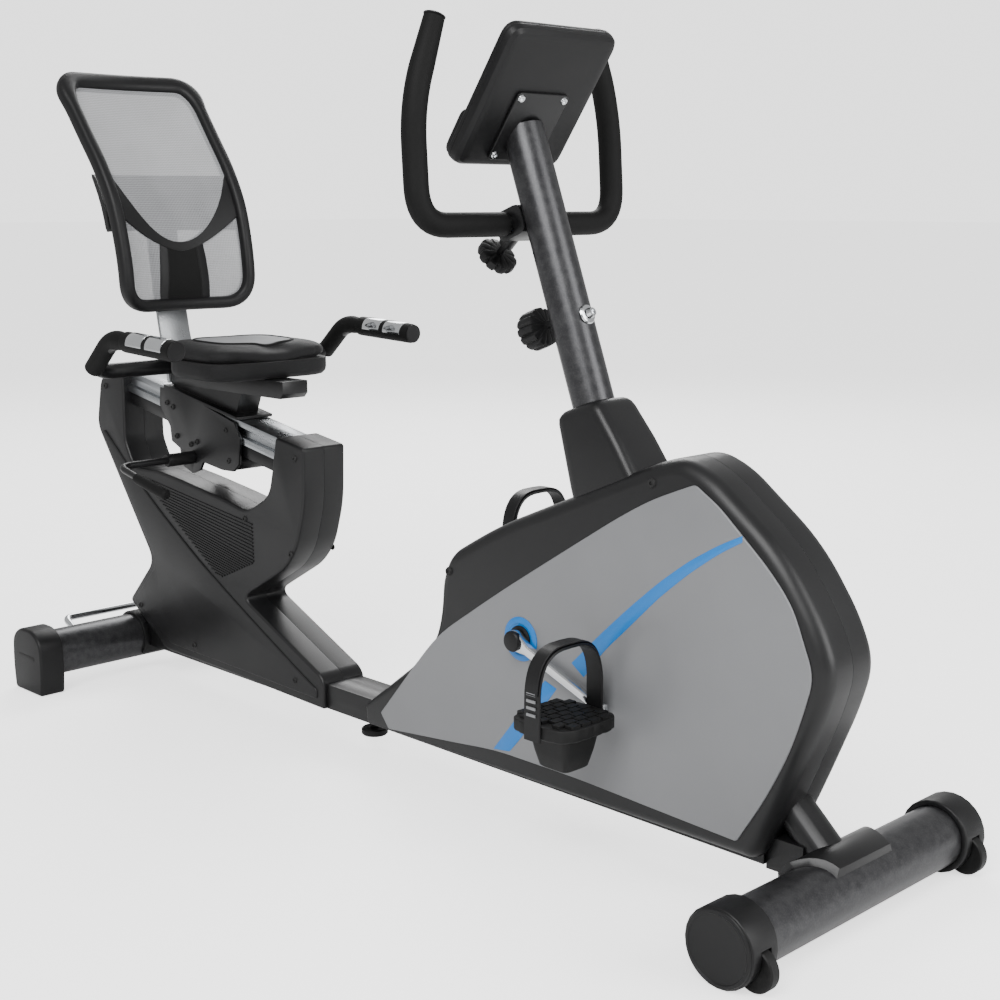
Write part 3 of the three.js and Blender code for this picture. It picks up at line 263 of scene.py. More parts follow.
def make_threads():
    tree, given, out = start_group(
        "Threads",
        {"Across": 300.0, "Along": 300.0},
        {"Height": "NodeSocketFloat", "Hole": "NodeSocketFloat"},
    )
    place = add_node(tree, "ShaderNodeTexCoord").outputs["Object"]
    parts = add_node(tree, "ShaderNodeSeparateXYZ", Vector=place)
    waves = []
    for axis, scale in (("Y", "Across"), ("Z", "Along")):
        turn = add_node(
            tree,
            "ShaderNodeMath",
            {"operation": "MULTIPLY"},
            i0=parts.outputs[axis],
            i1=given.outputs[scale],
        )
        wave = add_node(tree, "ShaderNodeMath", {"operation": "SINE"}, i0=turn.outputs[0])
        waves.append(add_node(tree, "ShaderNodeMath", {"operation": "ABSOLUTE"}, i0=wave.outputs[0]))
    height = add_node(
        tree, "ShaderNodeMath", {"operation": "MULTIPLY"}, i0=waves[0].outputs[0], i1=waves[1].outputs[0]
    )
    hole = add_node(tree, "ShaderNodeMapRange", Value=height.outputs[0], i1=0.22, i2=0.34)
    tree.links.new(height.outputs[0], out.inputs["Height"])
    tree.links.new(hole.outputs["Result"], out.inputs["Hole"])
    return tree


GRAIN, BLOTCH, THREADS = make_grain(), make_blotch(), make_threads()
print("shader groups:", [group.name for group in (GRAIN, BLOTCH, THREADS)])


# %% [markdown]
# ## The finishes
# Black plastic, grey panel, powder-painted tube, chrome and foam differ mostly in three numbers: how
# light they are, how rough, and how coarse the skin is. One function makes them all from those numbers,
# so that they belong to one family, and cloth, net, brushed metal and glass are then made by hand.


# %% Plain finishes
def linear(r, g, b):
    """A screen colour from 0 to 255, as the linear colour that a shader takes."""
    return tuple(((c / 255) / 12.92 if c < 11 else (((c / 255) + 0.055) / 1.055) ** 2.4) for c in (r, g, b)) + (
        1.0,
    )


def place_group(tree, group, **inputs):
    node = tree.nodes.new("ShaderNodeGroup")
    node.node_tree = group
    for key, value in inputs.items():
        node.inputs[key.replace("_", " ")].default_value = value
    return node


def finish(
    name,
    colour,
    second,
    roughness,
    metallic=0.0,
    grain=(900, 0.25),
    specks=(420, 0.15),
    patches=9.0,
    coat=0.0,
    gloss=0.5,
):
    """A blotched and grained finish: roughness is (lowest, highest), grain and specks (size, amount)."""
    material = bpy.data.materials.new(name)
    material.use_nodes = True
    tree = material.node_tree
    shader = tree.nodes["Principled BSDF"]
    shader.inputs["Metallic"].default_value = metallic
    shader.inputs["Coat Weight"].default_value = coat
    shader.inputs["Coat Roughness"].default_value = 0.18
    shader.inputs["Specular IOR Level"].default_value = gloss
    blotch = place_group(
        tree,
        BLOTCH,
        Color=linear(*colour),
        Second_Color=linear(*second),
        Size=patches,
        Speck_Size=specks[0],
        Speck_Amount=specks[1],
        Low_Roughness=roughness[0],
        High_Roughness=roughness[1],
    )
    skin = place_group(tree, GRAIN, Size=grain[0], Height=grain[1])
    tree.links.new(blotch.outputs["Color"], shader.inputs["Base Color"])
    tree.links.new(blotch.outputs["Roughness"], shader.inputs["Roughness"])
    tree.links.new(skin.outputs["Normal"], shader.inputs["Normal"])
    return material


SHROUD = finish("shroud_black", (16, 16, 17), (23, 23, 24), (0.34, 0.44), grain=(1100, 0.2), gloss=0.36)
TRIM = finish("trim_black", (12, 12, 13), (19, 19, 20), (0.4, 0.52), grain=(1500, 0.3), gloss=0.28)
PANEL = finish("panel_grey", (112, 113, 115), (119, 120, 122), (0.36, 0.44), grain=(1600, 0.08), coat=0.15)
PAINT = finish("paint_black", (16, 16, 17), (30, 30, 31), (0.3, 0.44), 0.3, (700, 0.12), (520, 0.3))
CHARCOAL = finish("paint_charcoal", (54, 54, 56), (76, 76, 77), (0.28, 0.38), 0.7, (420, 0.2), (480, 0.4), 90)
BLUE = finish("stripe_blue", (0, 104, 178), (4, 114, 190), (0.34, 0.42), grain=(1600, 0.08), specks=(900, 0.5))
CHROME = finish("chrome", (214, 216, 218), (196, 198, 200), (0.08, 0.2), 1.0, (300, 0.02), (900, 0.1), 30)
STEEL = finish("bracket_steel", (158, 160, 162), (128, 130, 132), (0.26, 0.42), 0.95, (500, 0.1), (500, 0.3), 26)
FOAM = finish("foam_black", (8, 8, 8), (15, 15, 15), (0.6, 0.74), grain=(420, 0.4), specks=(600, 0.4), gloss=0.18)
RUBBER = finish("tread_black", (13, 13, 13), (22, 22, 22), (0.5, 0.64), grain=(700, 0.4), gloss=0.25)
# Near-black for the black screw heads. On the rear caps the same colour is painted shade: a plate that stands for the
# shade inside a slot.
SCREW_AND_SLOT_SHADE_BLACK = finish("screw_black_and_slot_shade", (8, 8, 8), (14, 14, 14), (0.6, 0.8))
GREY_KEY = finish("key_grey", (110, 111, 113), (126, 127, 129), (0.4, 0.5), grain=(1500, 0.1))
print("finishes:", len(bpy.data.materials))


# %% [markdown]
# The seat's cover is a close weave and the backrest is an open net, so both take the Threads group: the
# cover uses its height as a bump and the net uses its holes as transparency. The rail is drawn
# aluminium, whose fine scratches all run the same way, so its noise is stretched along the rail.


# %% Cloth, net, drawn aluminium and glass
def cloth_finish(name, colour, roughness, across, height, net=False):
    material = bpy.data.materials.new(name)
    material.use_nodes = True
    tree = material.node_tree
    shader = tree.nodes["Principled BSDF"]
    shader.inputs["Sheen Weight"].default_value = 0.05
    shader.inputs["Specular IOR Level"].default_value = 0.2
    shader.inputs["Sheen Roughness"].default_value = 0.5
    threads = place_group(tree, THREADS, Across=across, Along=across)
    blotch = place_group(
        tree,
        BLOTCH,
        Color=linear(*colour),
        Second_Color=linear(*[c + 16 for c in colour]),
        Size=14,
        Speck_Size=900,
        Speck_Amount=0.5,
        Low_Roughness=roughness,
        High_Roughness=roughness + 0.1,
    )
    bump = add_node(
        tree, "ShaderNodeBump", Strength=0.6, Distance=height, Height=threads.outputs["Height"]
    )
    tree.links.new(blotch.outputs["Color"], shader.inputs["Base Color"])
    tree.links.new(blotch.outputs["Roughness"], shader.inputs["Roughness"])
    tree.links.new(bump.outputs["Normal"], shader.inputs["Normal"])
    if net:
        cover = add_node(
            tree, "ShaderNodeMapRange", Value=threads.outputs["Hole"], i1=0.0, i2=1.0, i3=1.0, i4=0.55
        )
        tree.links.new(cover.outputs["Result"], shader.inputs["Alpha"])
    return material


def drawn_aluminium():
    material = finish("rail_aluminium", (168, 171, 174), (140, 143, 146), (0.22, 0.36), 1.0, (200, 0.02))
    tree = material.node_tree
    shader = tree.nodes["Principled BSDF"]
    place = add_node(tree, "ShaderNodeTexCoord").outputs["Object"]
    stretch = add_node(tree, "ShaderNodeMapping", Vector=place, Scale=(6, 900, 900))
    noise = add_node(tree, "ShaderNodeTexNoise", Vector=stretch.outputs["Vector"], Scale=1.0, Detail=4.0)
    bump = add_node(
        tree, "ShaderNodeBump", Strength=0.25, Distance=0.0003, Height=noise.outputs["Fac"]
    )
    tree.links.new(bump.outputs["Normal"], shader.inputs["Normal"])
    return material


NET = cloth_finish("backrest_net", (138, 139, 141), 0.7, 1050.0, 0.0001, net=True)
COVER = cloth_finish("seat_cover", (13, 13, 14), 0.62, 1800.0, 0.0003)
PATCH = cloth_finish("seat_patch", (122, 123, 125), 0.6, 1500.0, 0.0003)
ALUMINIUM = drawn_aluminium()
LENS = finish("display_glass", (22, 27, 30), (26, 31, 34), (0.05, 0.1), grain=(200, 0.0), coat=0.6)
print("cloth, net, aluminium and glass added")


# %% [markdown]
# ## Four ways to make a shape
# Most of the bike is one of four things. A *sweep* carries a circle along a bent path, for every tube. A
# *turning* spins a profile about an axis, for knobs, caps and wheels. A *pillow* is a flat outline whose
# edges roll over, for the shrouds, the console and the seat. A *refined* piece starts as a copy of its
# CAD node: the loose triangles are merged and its hard edges get a small bevel.


# %% Mesh helpers
def finish_mesh(mesh, material, angle=32):
    """Merges doubles, turns faces outwards and shades smooth up to an angle in degrees."""
    shape = bmesh.new()
    shape.from_mesh(mesh)
    bmesh.ops.remove_doubles(shape, verts=shape.verts, dist=1e-6)
    bmesh.ops.dissolve_degenerate(shape, edges=shape.edges, dist=1e-6)
    bmesh.ops.recalc_face_normals(shape, faces=shape.faces)
    shape.to_mesh(mesh)
    shape.free()
    mesh.polygons.foreach_set("use_smooth", [True] * len(mesh.polygons))
    mesh.set_sharp_from_angle(angle=math.radians(angle))
    mesh.materials.clear()
    mesh.materials.append(material)


def new_piece(name, body, slot, material, points, faces, angle=32):
    mesh = bpy.data.meshes.new(name)
    mesh.from_pydata([tuple(p) for p in points], [], faces)
    finish_mesh(mesh, material, angle)
    piece = bpy.data.objects.new(name, mesh)
    bpy.context.scene.collection.objects.link(piece)
    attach(piece, body)
    return piece


def skin(rings, loop=False):
    """Faces over a row of rings with equal numbers of points, capped at both ends unless it loops."""
    count = len(rings[0])
    points = [p for ring in rings for p in ring]
    faces = []
    for r in range(len(rings) if loop else len(rings) - 1):
        n = (r + 1) % len(rings)
        for i in range(count):
            j = (i + 1) % count
            faces.append((r * count + i, r * count + j, n * count + j, n * count + i))
    if not loop:
        faces.append(tuple(range(count))[::-1])
        faces.append(tuple(range((len(rings) - 1) * count, len(rings) * count)))
    return points, faces


def bent(points, bend, steps=10):
    """A run of points with its corners rounded: bend is how far from a corner its curve starts."""
    points = [Vector(p) for p in points]
    run = [points[0]]
    for before, here, after in zip(points, points[1:], points[2:]):
        reach = min(bend, (before - here).length / 2, (after - here).length / 2)
        start = here + (before - here).normalized() * reach
        stop = here + (after - here).normalized() * reach
        for s in range(steps + 1):
            t = s / steps
            run.append((1 - t) ** 2 * start + 2 * t * (1 - t) * here + t * t * stop)
    return run + [points[-1]]


def circle_rings(run, radii, sides, loop=False):
    """Circles square to a run of points, with no twist from one to the next."""
    rings, side = [], None
    for i, here in enumerate(run):
        ahead = run[(i + 1) % len(run)] if loop else run[min(i + 1, len(run) - 1)]
        behind = run[i - 1] if loop or i else run[0]
        along = (ahead - behind).normalized()
        if side is None:
            side = along.orthogonal()
        side = (side - along * side.dot(along)).normalized()
        up = along.cross(side)
        r = radii[i]
        turns = [2 * math.pi * k / sides for k in range(sides)]
        rings.append([here + (side * math.cos(a) + up * math.sin(a)) * r for a in turns])
    return rings


def sweep(name, body, slot, material, points, radius, bend=0, sides=40, ends=2.0):
    """A round bar through points in millimetres, with its ends rounded over."""
    run = [at(*p) for p in bent(points, bend)]
    if bend == 0:
        run = [at(*p) for p in points]
    radii = [radius / 1000] * len(run)
    cap = ends / 1000
    for first in (True, False):
        here, near = (run[0], run[1]) if first else (run[-1], run[-2])
        out = (here - near).normalized()
        new = [(here - out * cap * (1 - math.sin(a)), radii[0] - cap * (1 - math.cos(a))) for a in (0, 0.5, 1.0, 1.57)]
        places, sizes = [n[0] for n in new], [n[1] for n in new]
        if first:
            run, radii = places[::-1] + run[1:], sizes[::-1] + radii[1:]
        else:
            run, radii = run[:-1] + places, radii[:-1] + sizes
    return new_piece(name, body, slot, material, *skin(circle_rings(run, radii, sides)))


def turning(name, body, slot, material, start, aim, profile, sides=64, flutes=0, depth=0.0):
    """Spins (radius, distance) pairs round an axis from start; flutes cut shallow grooves along it."""
    start, aim = at(*start), Vector(aim).normalized()
    side = aim.orthogonal().normalized()
    up = aim.cross(side)
    rings = []
    for radius, along in profile:
        ring = []
        for k in range(sides):
            a = 2 * math.pi * k / sides
            dip = depth * max(0.0, math.cos(flutes * a)) ** 2 if flutes and radius > 8 else 0
            r = max(radius - dip, 0.02) / 1000
            ring.append(start + aim * along / 1000 + (side * math.cos(a) + up * math.sin(a)) * r)
        rings.append(ring)
    return new_piece(name, body, slot, material, *skin(rings))


print("sweep and turning are ready")


# %% Outlines and pillows
def soft(points, corner=12, steps=5):
    """An outline with its corners rounded; a third number on a point is its own corner size."""
    out = []
    for i, point in enumerate(points):
        here = Vector(point[:2])
        before, after = Vector(points[i - 1][:2]), Vector(points[(i + 1) % len(points)][:2])
        own = point[2] if len(point) > 2 else corner
        reach = min(own, (before - here).length * 0.49, (after - here).length * 0.49)
        start = here + (before - here).normalized() * reach
        stop = here + (after - here).normalized() * reach
        for s in range(steps + 1):
            t = s / steps
            out.append((1 - t) ** 2 * start + 2 * t * (1 - t) * here + t * t * stop)
    return [p for i, p in enumerate(out) if (p - out[i - 1]).length > 0.05]


def facing(points):
    """Says which way round an outline runs: 1 is anticlockwise."""
    return 1 if sum(a.x * b.y - b.x * a.y for a, b in zip(points, points[1:] + points[:1])) > 0 else -1


def room_to_roll(points, distance, blend=70):
    """For each point, the share of the distance it can move in: a tight corner holds its part back."""
    room = [1.0] * len(points)
    for i, here in enumerate(points):
        before, after = here - points[i - 1], points[(i + 1) % len(points)] - here
        turn = before.angle_signed(after) * -facing(points)
        radius = (before.length + after.length) / 2 / turn if turn > 0.02 else distance * 9
        share = min(1.0, 0.8 * radius / distance)
        if share < 1:
            for j, other in enumerate(points):
                t = min(1.0, (other - here).length / blend)
                room[j] = min(room[j], share + (1 - share) * t * t * (3 - 2 * t))
    return room


def shrink(points, distance, room=None):
    """Moves an outline inwards in small steps; where a side would turn over, its ends meet instead."""
    inward = facing(points)
    room = room or [1.0] * len(points)
    steps = max(1, math.ceil(abs(distance) / 1.5))
    for _ in range(steps):
        moved = []
        for i, here in enumerate(points):
            before = here - points[i - 1]
            after = points[(i + 1) % len(points)] - here
            before = before.normalized() if before.length > 1e-4 else after.normalized()
            after = after.normalized() if after.length > 1e-4 else before
            normal = Vector((-before.y - after.y, before.x + after.x)).normalized()
            spread = max(0.5, normal.dot(Vector((-before.y, before.x))))
            moved.append(here + normal * inward * distance * room[i] / steps / spread)
        for i in range(len(moved)):
            j = (i + 1) % len(moved)
            old, new = points[j] - points[i], moved[j] - moved[i]
            if old.dot(new) <= 0:
                moved[i] = moved[j] = (moved[i] + moved[j]) / 2
        points = moved
    return points


def pillow(name, body, slot, material, outline, faces, edges, place, steps=5, angle=32):
    """A plate over an outline between two depths, its two edges rolled over by edges[0] and edges[1]."""
    rings = []
    room = room_to_roll(outline, max(edges))
    for face, edge, order in (
        (faces[0], edges[0], range(steps, -1, -1)),
        (faces[1], -edges[1], range(steps + 1)),
    ):
        for s in order:
            a = s / steps * math.pi / 2
            depth = face + edge * (1 - math.sin(a))
            ring = shrink(outline, abs(edge) * (1 - math.cos(a)), room) if edge and s else outline
            rings.append([place(p.x, p.y, depth) for p in ring])
    return new_piece(name, body, slot, material, *skin(rings), angle=angle)


def on_side(x, z, y):
    return at(x, y, z)


def on_top(x, y, z):
    return at(x, y, z)


def band(side, inner, outer):
    """Two distances across the bike on the right (side -1) or the left (side 1), lowest first."""
    return (inner, outer) if side > 0 else (-outer, -inner)


def mirrored(side, edges):
    return edges if side > 0 else edges[::-1]


SIDES = (("right", -1), ("left", 1))


def refined(node, material, bevel=0.8, angle=30, segments=2):
    """A copy of a CAD node with merged triangles, small bevels and smooth shading, in its place."""
    mesh = frame["nodes"][node].data.copy()
    shape = bmesh.new()
    shape.from_mesh(mesh)
    bmesh.ops.remove_doubles(shape, verts=shape.verts, dist=2e-6)
    bmesh.ops.dissolve_limit(shape, angle_limit=0.01, verts=shape.verts, edges=shape.edges)
    shape.to_mesh(mesh)
    shape.free()
    mesh.materials.clear()
    mesh.materials.append(material)
    mesh.polygons.foreach_set("use_smooth", [True] * len(mesh.polygons))
    piece = bpy.data.objects.new(node + "_look", mesh)
    bpy.context.scene.collection.objects.link(piece)
    if bevel:
        mod = piece.modifiers.new("edge", "BEVEL")
        mod.width = bevel / 1000
        mod.segments = segments
        mod.limit_method = "ANGLE"
        mod.angle_limit = math.radians(angle)
        mod.harden_normals = False
        mod.use_clamp_overlap = True
    baked = bpy.data.meshes.new_from_object(
        piece.evaluated_get(bpy.context.evaluated_depsgraph_get())
    )
    piece.modifiers.clear()
    piece.data = baked
    baked.polygons.foreach_set("use_smooth", [True] * len(baked.polygons))
    baked.set_sharp_from_angle(angle=math.radians(angle))
    baked.materials.clear()
    baked.materials.append(material)
    body = frame["nodes"][node]["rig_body"]
    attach(piece, body)
    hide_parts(node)
    return piece


print("pillow and refined are ready")


# %% [markdown]
# ## The front shroud
# Two plastic shells meet along the middle of the drive and hide the flywheel, belt and crank pulley. Each
# is a deep pillow: one smooth outline, a flat face outside and a thick rolled edge all round, which is
# what catches the long highlight over the nose. The seam is the small gap between the two pillows.

# %% Front shroud shells
SHROUD_OUTLINE = [
    (-850, 56, 6),
    (-858, 88, 8),
    (-739, 180, 40),
    (-700, 222, 30),
    (-687, 262, 30),
    (-682, 320, 30),
    (-664, 356, 26),
    (-571, 409, 60),
    (-285, 531, 24),
    (-246, 543, 22),
    (-200, 527, 30),
    (-92, 446, 90),
    (-36, 366, 60),
    (-14, 312, 34),
    (-30, 254, 60),
    (-74, 147, 40),
    (-115, 56, 16),
]
for name, side in SIDES:
    pieces = pillow(
        "shroud_" + name,
        "frame",
        "black_plastic",
        SHROUD,
        soft(SHROUD_OUTLINE, steps=8),
        band(side, 0.2, 52),
        mirrored(side, (0.2, 20)),
        on_side,
        steps=8,
    )
    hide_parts("main_shroud_" + name)
print("front shroud halves:", len(pieces.data.polygons), "faces each")


# %% [markdown]
# Each side carries a large grey panel with a crisp edge, and two blue blades run across it through the
# crank. The blades are printed on the real panel; here they are paper-thin plates just proud of it. A
# blue ring surrounds the crank's bearing.

# %% Side panels and blue blades
PANEL_OUTLINE = [
    (-813, 85, 3),
    (-740, 170, 30),
    (-682, 234, 40),
    (-556, 319, 60),
    (-450, 386, 60),
    (-338, 456, 50),
    (-284, 486, 30),
    (-217, 513, 6),
    (-179, 490, 14),
    (-104, 426, 40),
    (-70, 388, 26),
    (-37, 309, 20),
    (-50, 260, 30),
    (-68, 207, 30),
    (-100, 142, 30),
    (-140, 78, 4),
    (-280, 83, 40),
    (-402, 88, 40),
    (-562, 88, 30),
    (-660, 77, 30),
    (-795, 63, 3),
]
BLADE_FRONT = [
    (-143, 461, 1),
    (-178, 444),
    (-223, 417),
    (-270, 382),
    (-319, 340),
    (-369, 294),
    (-417, 247, 1),
    (-395, 232, 1),
    (-360, 275),
    (-318, 315),
    (-270, 362),
    (-223, 401),
    (-178, 433),
    (-143, 453, 1),
]
BLADE_REAR = [(-466, 212, 1), (-526, 139), (-566, 90, 1), (-534, 94, 1), (-514, 116), (-444, 205, 1)]
for name, side in SIDES:
    panel = pillow(
        "panel_" + name,
        "frame",
        "grey_plastic",
        PANEL,
        soft(PANEL_OUTLINE, 20),
        band(side, 52.1, 54.8),
        mirrored(side, (0.2, 1.4)),
        on_side,
        steps=4,
    )
    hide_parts("side_panel_" + name)
    for part, outline in (("front", BLADE_FRONT), ("rear", BLADE_REAR)):
        pillow(
            f"blade_{part}_{name}",
            "frame",
            "grey_plastic",
            BLUE,
            soft(outline, 18),
            band(side, 54.7, 55.2),
            mirrored(side, (0.05, 0.1)),
            on_side,
            steps=2,
        )
    face = side * 54.6
    aim = (0, side, 0)
    ring = [(9, 0), (31, 0), (31, 1.2), (29.5, 2.2), (23, 2.6), (21, 1.4), (12, 1.4), (9, 1.0)]
    turning("crank_ring_" + name, "frame", "grey_plastic", BLUE, (-512, face, 261), aim, [(0, 0)] + ring[1:] + [(0, 1.0)])
    cup = [(0, 0.5), (19, 0.5), (19, 3.2), (17.5, 4.2), (12, 4.4), (0, 4.4)]
    turning("bearing_cup_" + name, "frame", "grey_plastic", TRIM, (-512, face, 261), aim, cup)
print("two panels, four blades, two crank rings")


# %% [markdown]
# ## The rear shroud
# The shroud under the seat is an X seen from the side: two towers hold the ends of the seat rail and two
# feet reach down to the beam. It is narrower than the front shroud and its edges are crisper. A raised
# band crosses it from corner to corner, and a field of fine ribs lies under the rail.

# %% Rear shroud halves
REAR_OUTLINE = [
    (-1630, 446, 20),
    (-1612, 528, 12),
    (-1590, 551, 14),
    (-1548, 556, 8),
    (-1534, 548, 6),
    (-1535, 426, 12),
    (-1508, 379, 22),
    (-1429, 382, 20),
    (-1360, 375, 20),
    (-1226, 357, 30),
    (-1167, 345, 22),
    (-1104, 380, 26),
    (-1093, 424, 16),
    (-1081, 479, 6),
    (-1008, 468, 6),
    (-1010, 375, 30),
    (-1034, 300, 26),
    (-1066, 264, 20),
    (-1184, 197, 24),
    (-977, 105, 8),
    (-968, 92, 6),
    (-969, 50, 4),
    (-1263, 56, 10),
    (-1426, 57, 12),
    (-1542, 129, 12),
    (-1458, 216, 24),
]
BAND_OUTLINE = [
    (-1611, 432, 14),
    (-1602, 440, 10),
    (-1509, 368, 30),
    (-1425, 311, 40),
    (-1307, 240, 40),
    (-1186, 178, 30),
    (-1030, 101, 30),
    (-984, 80, 8),
    (-984, 64, 6),
    (-1255, 70, 10),
    (-1405, 72, 12),
    (-1524, 132, 10),
    (-1440, 214, 24),
]
for name, side in SIDES:
    half = pillow(
        "rear_shroud_look_" + name,
        "frame",
        "black_plastic",
        SHROUD,
        soft(REAR_OUTLINE, steps=6),
        band(side, 0.2, 42),
        mirrored(side, (0.2, 5)),
        on_side,
        steps=5,
    )
    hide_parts("rear_shroud_" + name)
    pillow(
        "rear_band_" + name,
        "frame",
        "black_plastic",
        SHROUD,
        soft(BAND_OUTLINE, steps=6),
        band(side, 41.5, 44.5),
        mirrored(side, (0.2, 2.4)),
        on_side,
        steps=4,
    )
print("rear shroud halves and their raised bands")


# %% [markdown]
# The ribs under the rail are all alike, so a Geometry Nodes tree makes them. Each rib is one line in the
# input mesh, and the tree turns every line into a bar of one width and height. The result is turned
# into a plain mesh at once, because nothing else has to change it.


# %% Ribs by Geometry Nodes
def start_tree(name, sizes):
    """A geometry tree with one geometry in and out and named sizes in metres or counts."""
    tree = bpy.data.node_groups.new(name, "GeometryNodeTree")
    tree.interface.new_socket("Geometry", in_out="INPUT", socket_type="NodeSocketGeometry")
    for label in sizes:
        tree.interface.new_socket(label, in_out="INPUT", socket_type="NodeSocketFloat")
    tree.interface.new_socket("Geometry", in_out="OUTPUT", socket_type="NodeSocketGeometry")
    return tree, tree.nodes.new("NodeGroupInput"), tree.nodes.new("NodeGroupOutput")


def close_tree(tree, out, geometry, material):
    """Ends a tree in Realize Instances and Set Material."""
    real = add_node(tree, "GeometryNodeRealizeInstances", Geometry=geometry)
    painted = add_node(tree, "GeometryNodeSetMaterial", Geometry=real.outputs["Geometry"])
    painted.inputs["Material"].default_value = material
    tree.links.new(painted.outputs["Geometry"], out.inputs["Geometry"])


def grow(name, body, slot, tree, sizes, points, lines=(), aims=None, material=None, angle=35):
    """Runs a tree on points or lines in metres and keeps its result as a plain mesh on a body."""
    mesh = bpy.data.meshes.new(name + "_points")
    mesh.from_pydata([tuple(p) for p in points], list(lines), [])
    if aims:
        field = mesh.attributes.new("aim", "FLOAT_VECTOR", "POINT")
        for i, aim in enumerate(aims):
            field.data[i].vector = aim
    piece = bpy.data.objects.new(name, mesh)
    bpy.context.scene.collection.objects.link(piece)
    mod = piece.modifiers.new("grow", "NODES")
    mod.node_group = tree
    for item in tree.interface.items_tree:
        if item.in_out == "INPUT" and item.name in sizes:
            mod[item.identifier] = float(sizes[item.name])
    baked = bpy.data.meshes.new_from_object(
        piece.evaluated_get(bpy.context.evaluated_depsgraph_get())
    )
    piece.modifiers.clear()
    piece.data = baked
    finish_mesh(baked, material, angle)
    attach(piece, body)
    return piece


def rib_tree(material):
    tree, given, out = start_tree("Ribs", ("Rib Width", "Rib Height"))
    curve = add_node(tree, "GeometryNodeMeshToCurve", Mesh=given.outputs["Geometry"])
    bar = add_node(
        tree,
        "GeometryNodeCurvePrimitiveQuadrilateral",
        Width=given.outputs["Rib Width"],
        Height=given.outputs["Rib Height"],
    )
    ribs = add_node(tree, "GeometryNodeCurveToMesh", Curve=curve.outputs["Curve"])
    tree.links.new(bar.outputs["Curve"], ribs.inputs["Profile Curve"])
    ribs.inputs["Fill Caps"].default_value = True
    close_tree(tree, out, ribs.outputs["Mesh"], material)
    return tree


def rib_lines(y, count=24):
    """Lines that step down from the top edge of the ribbed field between its two slanting sides."""
    left_top, right_top = Vector((-1484, 366)), Vector((-1150, 326))
    left_foot, right_foot = Vector((-1262, 226)), Vector((-1240, 223))
    points, lines = [], []
    for i in range(count):
        t = i / (count - 1)
        right = right_top.lerp(Vector((-1148, 262)), t / 0.45) if t < 0.45 else None
        if right is None:
            right = Vector((-1148, 262)).lerp(right_foot, (t - 0.45) / 0.55)
        left = left_top.lerp(left_foot, t)
        points += [at(left.x, y, left.y), at(right.x, y, right.y)]
        lines.append((2 * i, 2 * i + 1))
    return points, lines


RIBS = rib_tree(TRIM)
for name, side in SIDES:
    points, lines = rib_lines(side * 42.3)
    ribs = grow("rear_ribs_" + name, "frame", "black_plastic", RIBS, {"Rib Width": 0.0026, "Rib Height": 0.0026}, points, lines, material=TRIM)
print("ribs:", len(lines), "on each side,", len(ribs.data.polygons), "faces")


# %% [markdown]
# Screws repeat all over the bike: in the shrouds, behind the console and on the mast. One tree places a
# small domed head with a six-sided socket on every point, and turns it to face along that point's aim.


# %% Screws by Geometry Nodes
def screw_tree(name, material):
    tree, given, out = start_tree(name, ("Head Radius", "Head Height"))
    r, h = given.outputs["Head Radius"], given.outputs["Head Height"]
    head = add_node(tree, "GeometryNodeMeshCone", Vertices=20, Depth=h)
    tree.links.new(r, head.inputs["Radius Bottom"])
    rim = add_node(tree, "ShaderNodeMath", {"operation": "MULTIPLY"}, i0=r, i1=0.78)
    tree.links.new(rim.outputs[0], head.inputs["Radius Top"])
    hole_r = add_node(tree, "ShaderNodeMath", {"operation": "MULTIPLY"}, i0=r, i1=0.42)
    hole = add_node(tree, "GeometryNodeMeshCone", Vertices=6, Depth=h)
    tree.links.new(hole_r.outputs[0], hole.inputs["Radius Bottom"])
    tree.links.new(hole_r.outputs[0], hole.inputs["Radius Top"])
    lift = add_node(tree, "ShaderNodeMath", {"operation": "MULTIPLY"}, i0=h, i1=0.4)
    offset = add_node(tree, "ShaderNodeCombineXYZ", Z=lift.outputs[0])
    raised = add_node(tree, "GeometryNodeTransform", Geometry=hole.outputs["Mesh"], Translation=offset.outputs[0])
    socket = add_node(tree, "GeometryNodeMeshBoolean", {"operation": "DIFFERENCE"})
    tree.links.new(head.outputs["Mesh"], socket.inputs[0])
    tree.links.new(raised.outputs["Geometry"], socket.inputs[1])
    aim = add_node(tree, "GeometryNodeInputNamedAttribute", {"data_type": "FLOAT_VECTOR"}, Name="aim")
    turn = add_node(tree, "FunctionNodeAlignRotationToVector", {"axis": "Z"}, Vector=aim.outputs[0])
    heads = add_node(
        tree,
        "GeometryNodeInstanceOnPoints",
        Points=given.outputs["Geometry"],
        Instance=socket.outputs[0],
        Rotation=turn.outputs[0],
    )
    close_tree(tree, out, heads.outputs["Instances"], material)
    return tree


BLACK_SCREWS, BRIGHT_SCREWS = screw_tree("Black screws", SCREW_AND_SLOT_SHADE_BLACK), screw_tree("Bright screws", CHROME)


def screws(name, body, spots, radius, height, bright=False):
    """Screw heads in millimetres at (place, aim) spots that ride on one body."""
    tree, paint = (BRIGHT_SCREWS, CHROME) if bright else (BLACK_SCREWS, SCREW_AND_SLOT_SHADE_BLACK)
    points = [at(*place) for place, aim in spots]
    aims = [Vector(aim).normalized() for place, aim in spots]
    sizes = {"Head Radius": radius / 1000, "Head Height": height / 1000}
    slot = "chrome_parts" if bright else "black_plastic"
    return grow(name, body, slot, tree, sizes, points, aims=aims, material=paint, angle=40)


